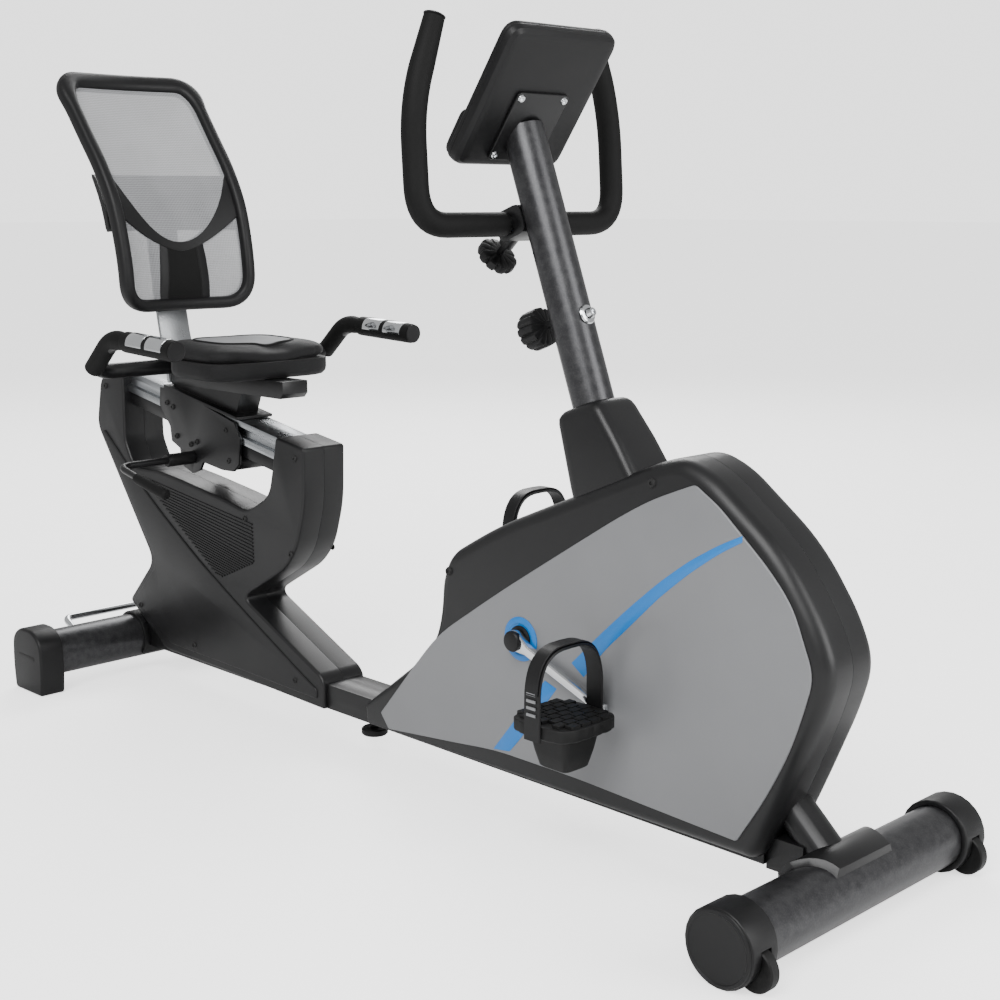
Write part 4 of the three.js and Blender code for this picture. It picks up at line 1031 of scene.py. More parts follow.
shroud_spots = [((x, s * 52.2, z), (0, s, 0)) for x, z in ((-286, 506), (-660, 331)) for s in (-1, 1)]
rear_spots = [
    ((x, s * 42.4, z), (0, s, 0))
    for x, z in ((-1170, 333), (-1046, 292), (-1592, 520), (-1030, 450))
    for s in (-1, 1)
]
screws("shroud_screws", "frame", shroud_spots, 6.5, 2.4)
screws("rear_shroud_screws", "frame", rear_spots, 5.5, 2.2)
low_spots = [((x, s * 44.6, z), (0, s, 0)) for x, z in ((-1500, 126), (-1330, 84), (-1040, 84)) for s in (-1, 1)]
screws("rear_band_screws", "frame", low_spots, 5.0, 2.0)
print("screws in the shrouds:", len(shroud_spots + rear_spots + low_spots))


# %% [markdown]
# ## Beam and stabilisers
# The welded frame is simple boxes and plates, so a refined copy of its CAD node is enough: its small
# bevels catch the light along each edge. The stabiliser tubes are new turnings, round enough for their
# outline to stay smooth, in the same speckled charcoal powder paint as the mast.

# %% Welded frame and stabiliser tubes
refined("main_frame", PAINT, bevel=1.2)
tube = [(0, 0), (39, 0), (40, 1)]
for node, x, z, half in (("front_stabiliser", -17, 47, 208), ("rear_stabiliser", -1533, 63, 223)):
    profile = tube + [(40, 2 * half - 1), (39, 2 * half), (0, 2 * half)]
    body = turning(node + "_tube", "frame", "frame_steel", CHARCOAL, (x, -half, z), (0, 1, 0), profile, 96)
    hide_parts(node)
print("frame and tubes done")


# %% [markdown]
# The front end caps are round cups with a rolled rim and a raised disc on the end. Each holds a small
# transport wheel that only touches the floor when the bike is tipped forward. The rear caps stand on
# flat soles, and the thin slot moulded in their end is painted shade: a near-black plate, not a cut.

# %% End caps and transport wheels
for name, side in SIDES:
    cap = refined("front_cap_" + name, TRIM, bevel=0.8)
    aim = (0, side, 0)
    disc = [(0, 0), (44.5, 0), (45.5, 1.2), (44.5, 2.6), (41, 3.2), (39.5, 2.2), (0, 1.6)]
    turning("cap_disc_" + name, "frame", "black_plastic", TRIM, (-17, side * 246, 47), aim, disc, 80)
    lip = [(41, 0), (47, 0), (49.4, 1.6), (49.4, 4.4), (47, 6), (41, 6)]
    rings = [(40.5, 3)] + lip[1:5] + [(40.5, 3)]
    y = side * 198
    wheel = [(0, 0), (6, 0), (7, 1.2), (18, 1.2), (20, 0.4), (24.5, 0), (26.3, 1.6), (26.3, 13.4), (24.5, 15), (20, 14.6), (18, 13.8), (7, 13.8), (6, 15), (0, 15)]
    look = turning("wheel_" + name, "wheel_" + name, "black_plastic", RUBBER, (18, side * 223 - 7.5, 28), (0, 1, 0), wheel, 64)
    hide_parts("transport_wheel_" + name)
print("front caps and wheels done")


# %% Rear caps, cover and levelling foot
REAR_CAP = [
    (-1579, 0, 8),
    (-1487, 0, 8),
    (-1482, 46, 22),
    (-1485, 96, 26),
    (-1511, 114, 26),
    (-1555, 114, 26),
    (-1581, 96, 26),
    (-1584, 46, 22),
]
SLOT_SHADE_SHAPE = [(-1560, 60, 4), (-1506, 60, 4), (-1506, 68, 4), (-1560, 68, 4)]
for name, side in SIDES:
    cap = pillow(
        "rear_foot_" + name,
        "frame",
        "black_plastic",
        TRIM,
        soft(REAR_CAP, steps=7),
        band(side, 213, 258),
        mirrored(side, (2, 5)),
        on_side,
        steps=5,
    )
    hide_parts("rear_cap_" + name)
    # Painted shade: a thin near-black plate on the end face stands for the shade inside the slot.
    pillow(
        "rear_foot_slot_shade_" + name,
        "frame",
        "black_plastic",
        SCREW_AND_SLOT_SHADE_BLACK,
        soft(SLOT_SHADE_SHAPE, 4),
        band(side, 257.6, 258.5),
        mirrored(side, (0.1, 0.4)),
        on_side,
        steps=2,
    )
cover = refined("rear_cover", TRIM, bevel=1.0)
foot = [(0, 0), (19, 0), (21, 2), (21, 9), (19, 11), (8, 11.5), (6, 13), (6, 40), (0, 40)]
piece = turning("foot_disc", "foot", "black_plastic", RUBBER, (-893, 0, 19), (0, 0, 1), foot, 48)
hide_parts("levelling_foot")
handle = sweep(
    "carry_bar",
    "frame",
    "chrome_parts",
    CHROME,
    [(-1566, 142, 84), (-1602, 142, 100), (-1602, -142, 100), (-1566, -142, 84)],
    6,
    bend=14,
)
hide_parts("carry_handle")
print("rear caps, cover, foot and carry bar done")


# %% [markdown]
# ## Mast and boot
# The mast leans back over the drive, so its pieces are placed in a frame that leans with it: the first
# number is how far in front of the mast's middle a place is, the third how far up the mast. The boot is
# a moulded sleeve that widens from the round mast to the flat top of the shroud.


# %% Mast
def lean(x, z, angle):
    """A function that places (x, y, z) of a frame turned about Y, as millimetres of the bike's own frame."""
    turn = Matrix.Rotation(math.radians(angle), 3, "Y")
    return lambda a, b, c: tuple(turn @ Vector((a, b, c)) + Vector((x, 0, z)))


on_mast = lean(-449, 633, -20.45)
on_console = lean(-559, 946, 35.45)
mast_up = Vector(on_mast(0, 0, 1)) - Vector(on_mast(0, 0, 0))
mast_front = Vector(on_mast(1, 0, 0)) - Vector(on_mast(0, 0, 0))
panel_back = Vector(on_console(1, 0, 0)) - Vector(on_console(0, 0, 0))
panel_up = Vector(on_console(0, 0, 1)) - Vector(on_console(0, 0, 0))
mast = turning(
    "mast_tube",
    "frame",
    "frame_steel",
    CHARCOAL,
    on_mast(0, 0, -100),
    mast_up,
    [(0, 0), (28.5, 0), (28.5, 434), (28, 434.5), (0, 434.5)],
    96,
)
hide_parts("mast")


def in_panel(across, up, depth):
    return at(*on_console(depth, across, up))


plate = pillow(
    "mast_plate",
    "frame",
    "frame_steel",
    PAINT,
    soft([(-48, -48), (48, -48), (48, 55), (-48, 55)], 8),
    (0.4, 4.4),
    (0.2, 1.0),
    in_panel,
    steps=3,
)
print("mast tube and its end plate")


# %% Boot
def boot_ring(along, x, y, offset, corner):
    outline = soft([(offset - x, -y), (offset + x, -y), (offset + x, y), (offset - x, y)], corner, 6)
    return [at(*on_mast(p.x, p.y, along)) for p in outline]


boot_rows = [
    (-186, 62, 43, 16, 15),
    (-150, 57, 43, 12, 15),
    (-112, 51, 42, 8, 16),
    (-64, 42, 40, 1, 17),
    (-57, 40, 38.5, 0, 17),
    (-53, 37, 36, 0, 17),
    (-50, 33, 33, 0, 17),
    (-49, 29, 29, 0, 17),
]
boot = new_piece(
    "boot", "frame", "black_plastic", SHROUD, *skin([boot_ring(*row) for row in boot_rows]), angle=40
)
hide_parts("mast_boot")
bolt_at = on_mast(28, 0, 66)
washer = [(0, 0), (13, 0), (13.5, 1), (12, 3), (9, 4), (0, 4)]
turning("mast_washer", "frame", "chrome_parts", CHROME, bolt_at, mast_front, washer, 48)
screws("mast_bolt", "frame", [(on_mast(33.5, 0, 66), mast_front)], 7.5, 6, bright=True)
print("boot, washer and bolt")


# %% [markdown]
# ## Handlebar, clamp and knobs
# One bent tube runs down from the right grip, across behind the mast and up to the left grip. Its foam
# sleeves are thicker sweeps over the same path. The clamp holds it by friction, and the fluted knob
# below it does the tightening. The knob behind the mast sets the resistance.


# %% Handlebar and foam
def bar_run(side):
    return [(-568, side * 186, 820), (-578, side * 186, 970), (-578, side * 148, 1077)]


bar = sweep(
    "u_bar", "bar", "frame_steel", PAINT, bar_run(-1)[::-1] + bar_run(1), 12.7, bend=48, sides=40
)
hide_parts("handlebar")
for name, side in SIDES:
    low, knee, tip = [Vector(p) for p in bar_run(side)]
    out = (tip - knee).normalized()
    run = [Vector((-568, side * 33, 820)), low, knee, tip + out * 4]
    sleeve = sweep("foam_" + name, "bar", "foam", FOAM, run, 16.5, 50, 48, 2.5)
    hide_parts("foam_grip_" + name)
    plug = [(0, 0), (13.5, 0), (14.6, 0.8), (14.6, 1.8), (13, 2.8), (8, 3.2), (0, 3.3)]
    turning("bar_plug_" + name, "bar", "foam", TRIM, tip + out * 3.6, out, plug, 48)
print("bar and sleeves")

# %% Clamp and knobs
refined("bar_clamp", PAINT, bevel=1.5)
knob_aim = Vector((-math.cos(math.radians(43.4)), 0, -math.sin(math.radians(43.4))))
knob = [(0, 0), (5, 0), (5, 35), (16, 35.5), (26, 37), (28.5, 39), (29, 42), (29, 47), (27, 51), (18, 52.5), (16, 51), (0, 51)]
start = Vector((-568, 0, 820)) + knob_aim * 20
piece = turning("clamp_knob_look", "bar_knob", "black_plastic", TRIM, start, knob_aim, knob, 120, 10, 4.0)
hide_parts("clamp_knob")
dial = [(0, 0), (6, 0), (6, 25), (12, 26), (22, 28), (26.5, 30), (27.3, 34), (27.3, 54), (25.5, 58), (20, 60.5), (17, 60), (15, 58), (0, 58)]
start = on_mast(-21, 0, 74)
piece = turning("resistance_dial", "resistance_knob", "black_plastic", TRIM, start, -mast_front, dial, 144, 12, 3.0)
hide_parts("tension_knob")
print("clamp and knobs")


# %% [markdown]
# ## Console
# The console is a shallow tray with rounded edges and a face that carries a display and two keys. From
# the front only its back shows, with a raised pad round the mast and four screws. The display shows
# generic bars, drawn as raised segments under the lens.

# %% Console shells
CONSOLE_OUTLINE = [(100, -64, 22), (100, 142, 22), (-100, 142, 22), (-100, -64, 22)]
shell = pillow(
    "console_shell",
    "frame",
    "black_plastic",
    TRIM,
    soft(CONSOLE_OUTLINE, steps=7),
    (-16, 0),
    (0.4, 13),
    in_panel,
    steps=3,
    angle=24,
)
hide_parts("console_back")
face = pillow(
    "console_front",
    "frame",
    "grey_plastic",
    TRIM,
    soft(CONSOLE_OUTLINE, steps=7),
    (-24.3, -16.3),
    (4, 0.8),
    in_panel,
    steps=5,
)
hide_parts("console_face")
block = [(98, -62, 20), (98, 8, 12), (-98, 8, 12), (-98, -62, 20)]
pillow(
    "console_block",
    "frame",
    "grey_plastic",
    TRIM,
    soft(block, steps=6),
    (-32.3, -20),
    (5, 0.4),
    in_panel,
    steps=5,
)
ledge = pillow(
    "reading_ledge",
    "frame",
    "grey_plastic",
    TRIM,
    soft([(-70, 12), (70, 12), (70, 18), (-70, 18)], 2.5),
    (-38, -23),
    (2, 0.2),
    in_panel,
    steps=3,
)
spots = [(on_console(4.4, s * 40, up), panel_back) for s in (-1, 1) for up in (-40, 47)]
screws("console_screws", "frame", spots, 5.5, 2.4, bright=True)
print("console shells and screws")

# %% Display and keys
glass = pillow(
    "display_window",
    "frame",
    "lens",
    LENS,
    soft([(-61, 31), (61, 31), (61, 111), (-61, 111)], 6),
    (-25.0, -23.9),
    (0.6, 0.1),
    in_panel,
    steps=3,
)
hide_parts("display_lens")
for row in range(3):
    for column in range(8):
        tall = 5 + 9 * abs(math.sin(1.3 * column + row))
        x, z = -49 + column * 13, 38 + row * 24
        bar_shape = [(x, z), (x + 8, z), (x + 8, z + tall), (x, z + tall)]
        pillow(
            f"display_bar_{row}_{column}",
            "frame",
            "grey_plastic",
            GREY_KEY,
            soft(bar_shape, 1),
            (-25.3, -24.9),
            (0.1, 0.05),
            in_panel,
            steps=1,
        )
for name, side in SIDES:
    start = on_console(-30, side * 34, -12)
    key = [(0, 0), (7.8, 0), (7.8, 3.6), (7, 4.6), (5, 5.0), (0, 5.2)]
    piece = turning("key_" + name, "key_" + name, "grey_plastic", GREY_KEY, start, -panel_back, key, 40)
    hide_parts("button_" + name)
print("display and keys")


# %% [markdown]
# ## Cranks and pedals
# A chromed arm runs from the bearing to each pedal. The pedal is a broad platform with a weighted block
# beneath, so that it hangs level, and a buckled strap over the foot. The tread blocks come from the
# same kind of Geometry Nodes tree as the screws: one block, placed on every point of a brick pattern.


# %% Crank arms
def crank_spot(side, reach):
    a = math.radians(-21.1 + (0 if side < 0 else 180))
    return -512 + reach * math.cos(a), 261 + reach * math.sin(a)


def crank_outline(side):
    a = math.radians(-21.1 + (0 if side < 0 else 180))
    along, over = Vector((math.cos(a), math.sin(a))), Vector((-math.sin(a), math.cos(a)))
    hub, eye = Vector((-512, 261)), Vector(crank_spot(side, 169.4))
    points = []
    for centre, r, first in ((hub, 15, 90), (eye, 9.5, -90)):
        for k in range(13):
            t = math.radians(first + k * 15)
            points.append(centre + (along * math.cos(t) + over * math.sin(t)) * r)
    waist = [hub + along * 26 - over * 7, eye - along * 20 - over * 6]
    crest = [eye - along * 20 + over * 6, hub + along * 26 + over * 7]
    return points[:13] + waist + points[13:] + crest


for name, side in SIDES:
    arm = pillow(
        "crank_" + name,
        "cranks",
        "chrome_parts",
        CHROME,
        crank_outline(side),
        band(side, 60, 71),
        (2.4, 2.4),
        on_side,
        steps=4,
    )
    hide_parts("crank_arm_" + name)
    x, z = crank_spot(side, 169.4)
    spindle = [(0, 0), (6, 0), (6, 120), (4.5, 122), (0, 122)]
    turning("spindle_" + name, "cranks", "chrome_parts", CHROME, (x, side * 64, z), (0, side, 0), spindle, 32)
    cap = [(0, 0), (13, 0), (14.5, 1), (14.5, 7), (13, 9), (9, 10), (0, 10.4)]
    turning("hub_cap_" + name, "cranks", "black_plastic", TRIM, (-512, side * 66.5, 261), (0, side, 0), cap, 48)
axle = turning(
    "axle_look",
    "cranks",
    "chrome_parts",
    CHROME,
    (-512, -66, 261),
    (0, 1, 0),
    [(0, 0), (10, 0), (10, 132), (0, 132)],
    48,
)
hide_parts("crank_axle")
print("crank arms, spindles and caps")


# %% Pedals
def block_tree(material):
    tree, given, out = start_tree("Blocks", ("Length", "Width", "Height"))
    size = add_node(
        tree,
        "ShaderNodeCombineXYZ",
        X=given.outputs["Length"],
        Y=given.outputs["Width"],
        Z=given.outputs["Height"],
    )
    block = add_node(tree, "GeometryNodeMeshCube", Size=size.outputs[0])
    placed = add_node(
        tree,
        "GeometryNodeInstanceOnPoints",
        Points=given.outputs["Geometry"],
        Instance=block.outputs["Mesh"],
    )
    close_tree(tree, out, placed.outputs["Instances"], material)
    return tree


BLOCKS = block_tree(RUBBER)
for name, side in SIDES:
    x, z = crank_spot(side, 169.4)
    y = side * 136
    body = "pedal_body_" + name
    scallops = []
    for k in range(72):
        a = 2 * math.pi * k / 72
        c, s = math.cos(a), math.sin(a)
        reach = 1 / ((abs(c) / 52) ** 4 + (abs(s) / 56) ** 4) ** 0.25
        reach -= 1.6 * max(0, math.cos(18 * a))
        scallops.append(Vector((x + reach * c, y + reach * s)))
    deck = pillow("deck_" + name, body, "black_plastic", RUBBER, scallops, (z - 9, z + 8), (3, 2), on_top, steps=3)
    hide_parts("pedal_" + name)
    bricks = [
        at(x + row * 14 + 0.0, y + column * 19 + (9.5 if row % 2 else 0), z + 9.3)
        for row in range(-3, 4)
        for column in range(-2, 3)
        if abs(column * 19 + (9.5 if row % 2 else 0)) < 46
    ]
    sizes = {"Length": 0.0115, "Width": 0.0165, "Height": 0.005}
    grow("tread_" + name, body, "black_plastic", BLOCKS, sizes, bricks, material=RUBBER)
    rings = []
    for height, half_x, half_y, shift in ((-8, 36, 34, 0), (-14, 34, 32, 0), (-36, 30, 28, 0), (-57, 25, 23, 0), (-59.5, 22, 20, 0)):
        outline = soft([(-half_x, -half_y), (half_x, -half_y), (half_x, half_y), (-half_x, half_y)], 9, 5)
        rings.append([at(x + shift + p.x, y + p.y, z + height) for p in outline])
    new_piece("weight_" + name, body, "black_plastic", RUBBER, *skin(rings), angle=40)
print("pedal decks, treads and weights:", len(bricks), "blocks each")


# %% Foot straps
def strap_run(y, z, tall=101, reach=57.8):
    run = [(y - reach, z - 12), (y - reach, z + 20)]
    for i in range(1, 24):
        a = math.pi * (1 - i / 24)
        across = math.copysign(abs(math.cos(a)) ** 0.62, math.cos(a))
        run.append((y + reach * across, z + 34 + (tall - 34) * math.sin(a) ** 0.8))
    return run + [(y + reach, z + 20), (y + reach, z - 12)]


def ribbon_rings(run, x, half, thick):
    rings = []
    for i, (y, z) in enumerate(run):
        before, after = Vector(run[max(i - 1, 0)]), Vector(run[min(i + 1, len(run) - 1)])
        along = (after - before).normalized()
        over = Vector((-along.y, along.x)) * thick / 2
        e = 1.0
        shape = [(-half, 1 - e), (-half + 1, 1), (half - 1, 1), (half, 1 - e), (half, -1 + e), (half - 1, -1), (-half + 1, -1), (-half, -1 + e)]
        rings.append([at(x + a, y + over.x * b, z + over.y * b) for a, b in shape if True])
    return rings


for name, side in SIDES:
    x, z = crank_spot(side, 169.4)
    y = side * 136
    body = "pedal_body_" + name
    run = strap_run(y, z)
    strap = new_piece("strap_" + name, body, "black_plastic", TRIM, *skin(ribbon_rings(run, x, 14, 3.2)), angle=40)
    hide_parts("pedal_strap_" + name)
    outer = strap_run(y, z, 104.2, 60.6)
    new_piece("strap_cover_" + name, body, "black_plastic", TRIM, *skin(ribbon_rings(outer[2:-2], x, 11, 2.2)), angle=40)
    holes = [at(x, y + s * 60.4, z + 22 + 9 * k) for s in (-1, 1) for k in range(4)]
    sizes = {"Length": 0.015, "Width": 0.0016, "Height": 0.0035}
    grow("strap_slots_" + name, body, "black_plastic", BLOCKS, sizes, holes, material=GREY_KEY)
print("foot straps with their slots")


# %% [markdown]
# ## Rail, carriage and lever
# The rail is a drawn aluminium bar with a groove along each side, and the seat's carriage straddles it
# on two plates. These are flat, hard-edged parts, so refined copies of the CAD nodes show them well.
# The lever that frees the carriage is a bent rod with a plastic grip.

# %% Rail and carriage
refined("seat_rail", ALUMINIUM, bevel=0.6)
refined("carriage", PAINT, bevel=0.9)
refined("roller_front", TRIM, bevel=1.2)
refined("roller_rear", TRIM, bevel=1.2)
rod = sweep(
    "lever_rod",
    "lever_body",
    "black_plastic",
    PAINT,
    [(-1326, 39, 418), (-1326, -180, 418), (-1180, -186, 391)],
    6,
    bend=22,
)
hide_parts("seat_lever")
boss = [(0, 0), (10, 0), (11, 1), (11, 50), (10, 53), (0, 53)]
turning("lever_boss", "lever_body", "black_plastic", TRIM, (-1326, -36.5, 418), (0, -1, 0), boss, 48)
lever_grip = [(0, 0), (6.5, 0), (8.5, 2), (9, 8), (9, 84), (8, 90), (5, 92.5), (0, 93)]
grip_aim = Vector((-1180, -186, 391)) - Vector((-1268, -184, 407))
turning("lever_grip", "lever_body", "black_plastic", FOAM, (-1268, -184, 407), grip_aim, lever_grip, 40)
plate_spots = [
    ((x, s * 36.2, z), (0, s, 0))
    for x, z in ((-1225, 475), (-1312, 446), (-1330, 440), (-1400, 506), (-1382, 500), (-1219, 424), (-1373, 450))
    for s in (-1, 1)
]
screws("carriage_bolts", "seat_body", plate_spots, 5, 2.6)
print("rail, carriage, rollers, lever")


# %% [markdown]
# ## Seat
# The cushion is foam under a stretched cover, so it is soft, crowned at the rim and a little hollow in
# the middle. It starts as a pillow slightly smaller than its CAD solid. A short cloth simulation blows
# it up against its own cover, with gravity off and its movement capped, and one subdivision smooths it.


# %% Cushion
def seat_outline(grow, corner=58):
    low_x, high_x, half = -1322 - grow, -1116 + grow, 124 + grow
    return soft([(low_x, -half), (high_x, -half), (high_x, half), (low_x, half)], corner, 9)


def seat_height(x, y):
    """How far the top of the seat stands above its front edge: it rises to the back and dips inside."""
    along = (x + 1116) / -206
    across = y / 124
    dip = max(0.0, 1 - ((along - 0.5) / 0.5) ** 2) * max(0.0, 1 - across**2)
    return 4 * along - 13 * dip + 4 * abs(across) ** 3


def seat_place(x, y, z):
    lift = seat_height(x, y) * max(0.0, (z - 597) / 28)
    return at(x, y, z + lift * 0.8)


def inflate(piece, pressure=4.0, cap=0.007):
    """Swells a closed mesh as cloth with gravity off, and lets no point move further than the cap."""
    mod = piece.modifiers.new("voxels", "REMESH")
    mod.mode = "VOXEL"
    mod.voxel_size = 0.006
    graph = bpy.context.evaluated_depsgraph_get()
    piece.data = bpy.data.meshes.new_from_object(piece.evaluated_get(graph))
    piece.modifiers.clear()
    start = [v.co.copy() for v in piece.data.vertices]
    cloth = piece.modifiers.new("cloth", "CLOTH")
    cloth.settings.use_pressure = True
    cloth.settings.uniform_pressure_force = pressure
    cloth.settings.effector_weights.gravity = 0
    cloth.settings.tension_stiffness = 30
    cloth.settings.compression_stiffness = 30
    cloth.settings.bending_stiffness = 4
    for step in range(1, 21):
        bpy.context.scene.frame_set(step)
    graph = bpy.context.evaluated_depsgraph_get()
    swollen = bpy.data.meshes.new_from_object(piece.evaluated_get(graph))
    piece.modifiers.clear()
    bpy.context.scene.frame_set(1)
    piece.data = swollen
    for vertex, old in zip(swollen.vertices, start):
        move = vertex.co - old
        if move.length > cap:
            vertex.co = old + move.normalized() * cap
    print("cushion swelled,", len(swollen.vertices), "points")


def smooth_piece(piece, material, rounds=3):
    shape = bmesh.new()
    shape.from_mesh(piece.data)
    for _ in range(rounds):
        bmesh.ops.smooth_vert(
            shape, verts=shape.verts, factor=0.5, use_axis_x=True, use_axis_y=True, use_axis_z=True
        )
    shape.to_mesh(piece.data)
    shape.free()
    finish_mesh(piece.data, material, 80)


cushion = pillow(
    "cushion",
    "seat_body",
    "upholstery",
    COVER,
    seat_outline(-4),
    (596.5, 616),
    (5, 12),
    seat_place,
    steps=6,
)
inflate(cushion)
smooth_piece(cushion, COVER)
sub = cushion.modifiers.new("soften", "SUBSURF")
sub.levels = sub.render_levels = 1
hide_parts("seat_cushion")
print("cushion:", len(cushion.data.polygons), "faces")


# %% [markdown]
# A light patch of cloth is sewn into the hollow of the seat, with a cord of piping round it. Beneath,
# the cushion sits in a moulded pan with a channel for the steel member it is bolted to.


# %% Patch, piping and pan
def seat_patch_point(u, v, lift):
    x, y = -1116 - 206 * (0.5 + 0.32 * u), 74 * v
    hit, spot, _, _ = cushion_tree.ray_cast(at(x, y, 700), Vector((0, 0, -1)), 0.2)[:4]
    return hit + Vector((0, 0, lift)) if hit else at(x, y, 622)


def super_circle(n, power=3.4):
    ring = []
    for k in range(n):
        a = 2 * math.pi * k / n
        c, s = math.cos(a), math.sin(a)
        r = 1 / (abs(c) ** power + abs(s) ** power) ** (1 / power)
        ring.append((r * c, r * s))
    return ring


from mathutils.bvhtree import BVHTree

shape = bmesh.new()
shape.from_mesh(cushion.data)
cushion_tree = BVHTree.FromBMesh(shape)
shape.free()
rings = []
for lift, sizes in ((0.0014, (0.02, 0.25, 0.5, 0.75, 0.94)), (0.0010, (0.99,)), (-0.0006, (1.0,)), (-0.0012, (0.9, 0.6, 0.3, 0.02))):
    for size in sizes:
        rings.append([seat_patch_point(u * size, v * size, lift) for u, v in super_circle(64)])
patch = new_piece("seat_patch", "seat_body", "upholstery", PATCH, *skin(rings), angle=60)
run = [seat_patch_point(u, v, 0.0006) for u, v in super_circle(96)]
piping = new_piece(
    "seat_piping",
    "seat_body",
    "upholstery",
    COVER,
    *skin(circle_rings(run, [0.0022] * len(run), 10, loop=True), loop=True),
)
base = refined("seat_base", COVER, bevel=0)
print("patch, piping and pan")


# %% [markdown]
# ## Side handles
# The seat's own handlebar crosses beneath the cushion and rises on both sides. Each end carries a foam
# grip with two bright contact plates that read the pulse, and a flat plug in the end of the tube.

# %% Side handlebar
def arm_run(side):
    return [(-1306, side * 235, 580), (-1240, side * 235, 638), (-1062, side * 235, 630)]


def pulse_plate(name, start, stop, half_angle=98):
    """A bright half shell laid over the upper side of a grip, from start to stop."""
    along = (stop - start).normalized()
    over = Vector((0, 1, 0)).cross(along).normalized()
    over = over if over.z > 0 else -over
    across = over.cross(along)
    rings = []
    for k in range(29):
        a = math.radians(-half_angle + 2 * half_angle * k / 28)
        out = over * math.cos(a) + across * math.sin(a)
        section = [(16.2, 0), (17.0, 0.2), (17.4, 1.2), (17.4, 42.8), (17.0, 43.8), (16.2, 44)]
        rings.append([at(*(start + along * reach + out * r)) for r, reach in section])
    return new_piece(name, "seat_body", "chrome_parts", CHROME, *skin(rings), angle=40)


arm_bar = sweep(
    "side_bar",
    "seat_body",
    "frame_steel",
    PAINT,
    arm_run(1)[::-1] + arm_run(-1),
    12.7,
    bend=40,
)
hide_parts("seat_handlebar")
along = (Vector(arm_run(1)[2]) - Vector(arm_run(1)[1])).normalized()
for name, side in SIDES:
    end = Vector(arm_run(side)[2])
    start = end - along * 134
    sleeve = [(0, 0), (14, 0), (16.3, 2), (16.5, 5), (16.5, 132), (15.6, 136), (12, 137), (0, 137.2)]
    grip = turning("side_grip_" + name, "seat_body", "foam", FOAM, start, along, sleeve, 56)
    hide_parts("seat_grip_" + name)
    elbow = [Vector(p) for p in arm_run(side)]
    low = elbow[0].lerp(elbow[1], 0.1)
    sweep("side_sleeve_" + name, "seat_body", "foam", FOAM, [low, elbow[1], start + along * 2], 15.2, 40, 44, 2)
    for k, reach in enumerate((22, 76)):
        pulse_plate(f"pulse_plate_{name}_{k}", start + along * reach, start + along * (reach + 44))
    plug = [(0, 0), (14.8, 0), (15.4, 0.6), (15.4, 1.4), (14.4, 2), (11, 1.6), (0, 1.6)]
    turning("grip_plug_" + name, "seat_body", "foam", TRIM, end + along * 2.9, along, plug, 48)
print("side bar, grips and pulse plates")


# %% [markdown]
# ## Backrest
# A moulded rim follows the curve of a back. A smile-shaped rib and a column divide it into one upper and
# two lower windows, each filled with a stretched net. A yoke behind it joins the rim to the steel
# bracket that rises from the seat member.


# %% Backrest curve
BACK_PROFILE = [
    (-1396, 640),
    (-1391, 690),
    (-1390, 730),
    (-1400, 790),
    (-1418, 848),
    (-1451, 905),
    (-1494, 960),
    (-1537, 1015),
    (-1580, 1072),
]


def back_at(z):
    """How far back the backrest stands at a height: a smooth curve through its profile."""
    i = 0
    while i < len(BACK_PROFILE) - 2 and BACK_PROFILE[i + 1][1] < z:
        i += 1
    x1, z1 = BACK_PROFILE[i]
    x2, z2 = BACK_PROFILE[i + 1]
    x0, z0 = BACK_PROFILE[max(i - 1, 0)]
    x3, z3 = BACK_PROFILE[min(i + 2, len(BACK_PROFILE) - 1)]
    t = min(1.0, max(0.0, (z - z1) / (z2 - z1)))
    m1 = (x2 - x0) / (z2 - z0) * (z2 - z1)
    m2 = (x3 - x1) / (z3 - z1) * (z2 - z1)
    h1, h2 = 2 * t**3 - 3 * t**2 + 1, t**3 - 2 * t**2 + t
    h3, h4 = -2 * t**3 + 3 * t**2, t**3 - t**2
    return h1 * x1 + h2 * m1 + h3 * x2 + h4 * m2


def on_back(y, z, off=0.0):
    """A point on the backrest: its sides stand further forward than its middle, as a back needs."""
    return at(back_at(z) + off + 18 * (y / 127) ** 2, y, z)


def split(points, longest=10):
    out = []
    for i, here in enumerate(points):
        after = points[(i + 1) % len(points)]
        parts = max(1, math.ceil((after - here).length / longest))
        out += [here.lerp(after, n / parts) for n in range(parts)]
    return out


outline = split(soft([(-122, 676, 46), (122, 676, 46), (129, 1058, 36), (-129, 1058, 36)], 40, 10))
rings = []
for i, here in enumerate(outline):
    ahead, behind = outline[(i + 1) % len(outline)], outline[i - 1]
    tangent = (on_back(ahead.x, ahead.y) - on_back(behind.x, behind.y)).normalized()
    slope = (at(back_at(here.y + 4), 0, here.y + 4) - at(back_at(here.y - 4), 0, here.y - 4)).normalized()
    out = Vector((0, 1, 0)).cross(slope).normalized()
    inward = tangent.cross(out).normalized()
    # Painted shade made as rim: along the top the rim is drawn wider and lower, so its black also fills the band of
    # shade under the top edge.
    ramp = max(0.0, min(1.0, (here.y - 1000) / 50))
    top = ramp * ramp * (3 - 2 * ramp)
    wide, deep = 10.5 + 5.5 * top, 13.5
    spot = on_back(here.x, here.y - 5 * top)
    ring = []
    for k in range(20):
        a = 2 * math.pi * k / 20
        c, s = math.cos(a), math.sin(a)
        r = 1 / (abs(c) ** 3 + abs(s) ** 3) ** (1 / 3)
        ring.append(spot + (out * c * deep + inward * s * wide) * r / 1000)
    rings.append(ring)
rim = new_piece("back_rim", "seat_body", "black_plastic", TRIM, *skin(rings, loop=True), angle=50)
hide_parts("backrest_frame")
print("backrest rim:", len(rim.data.polygons), "faces")

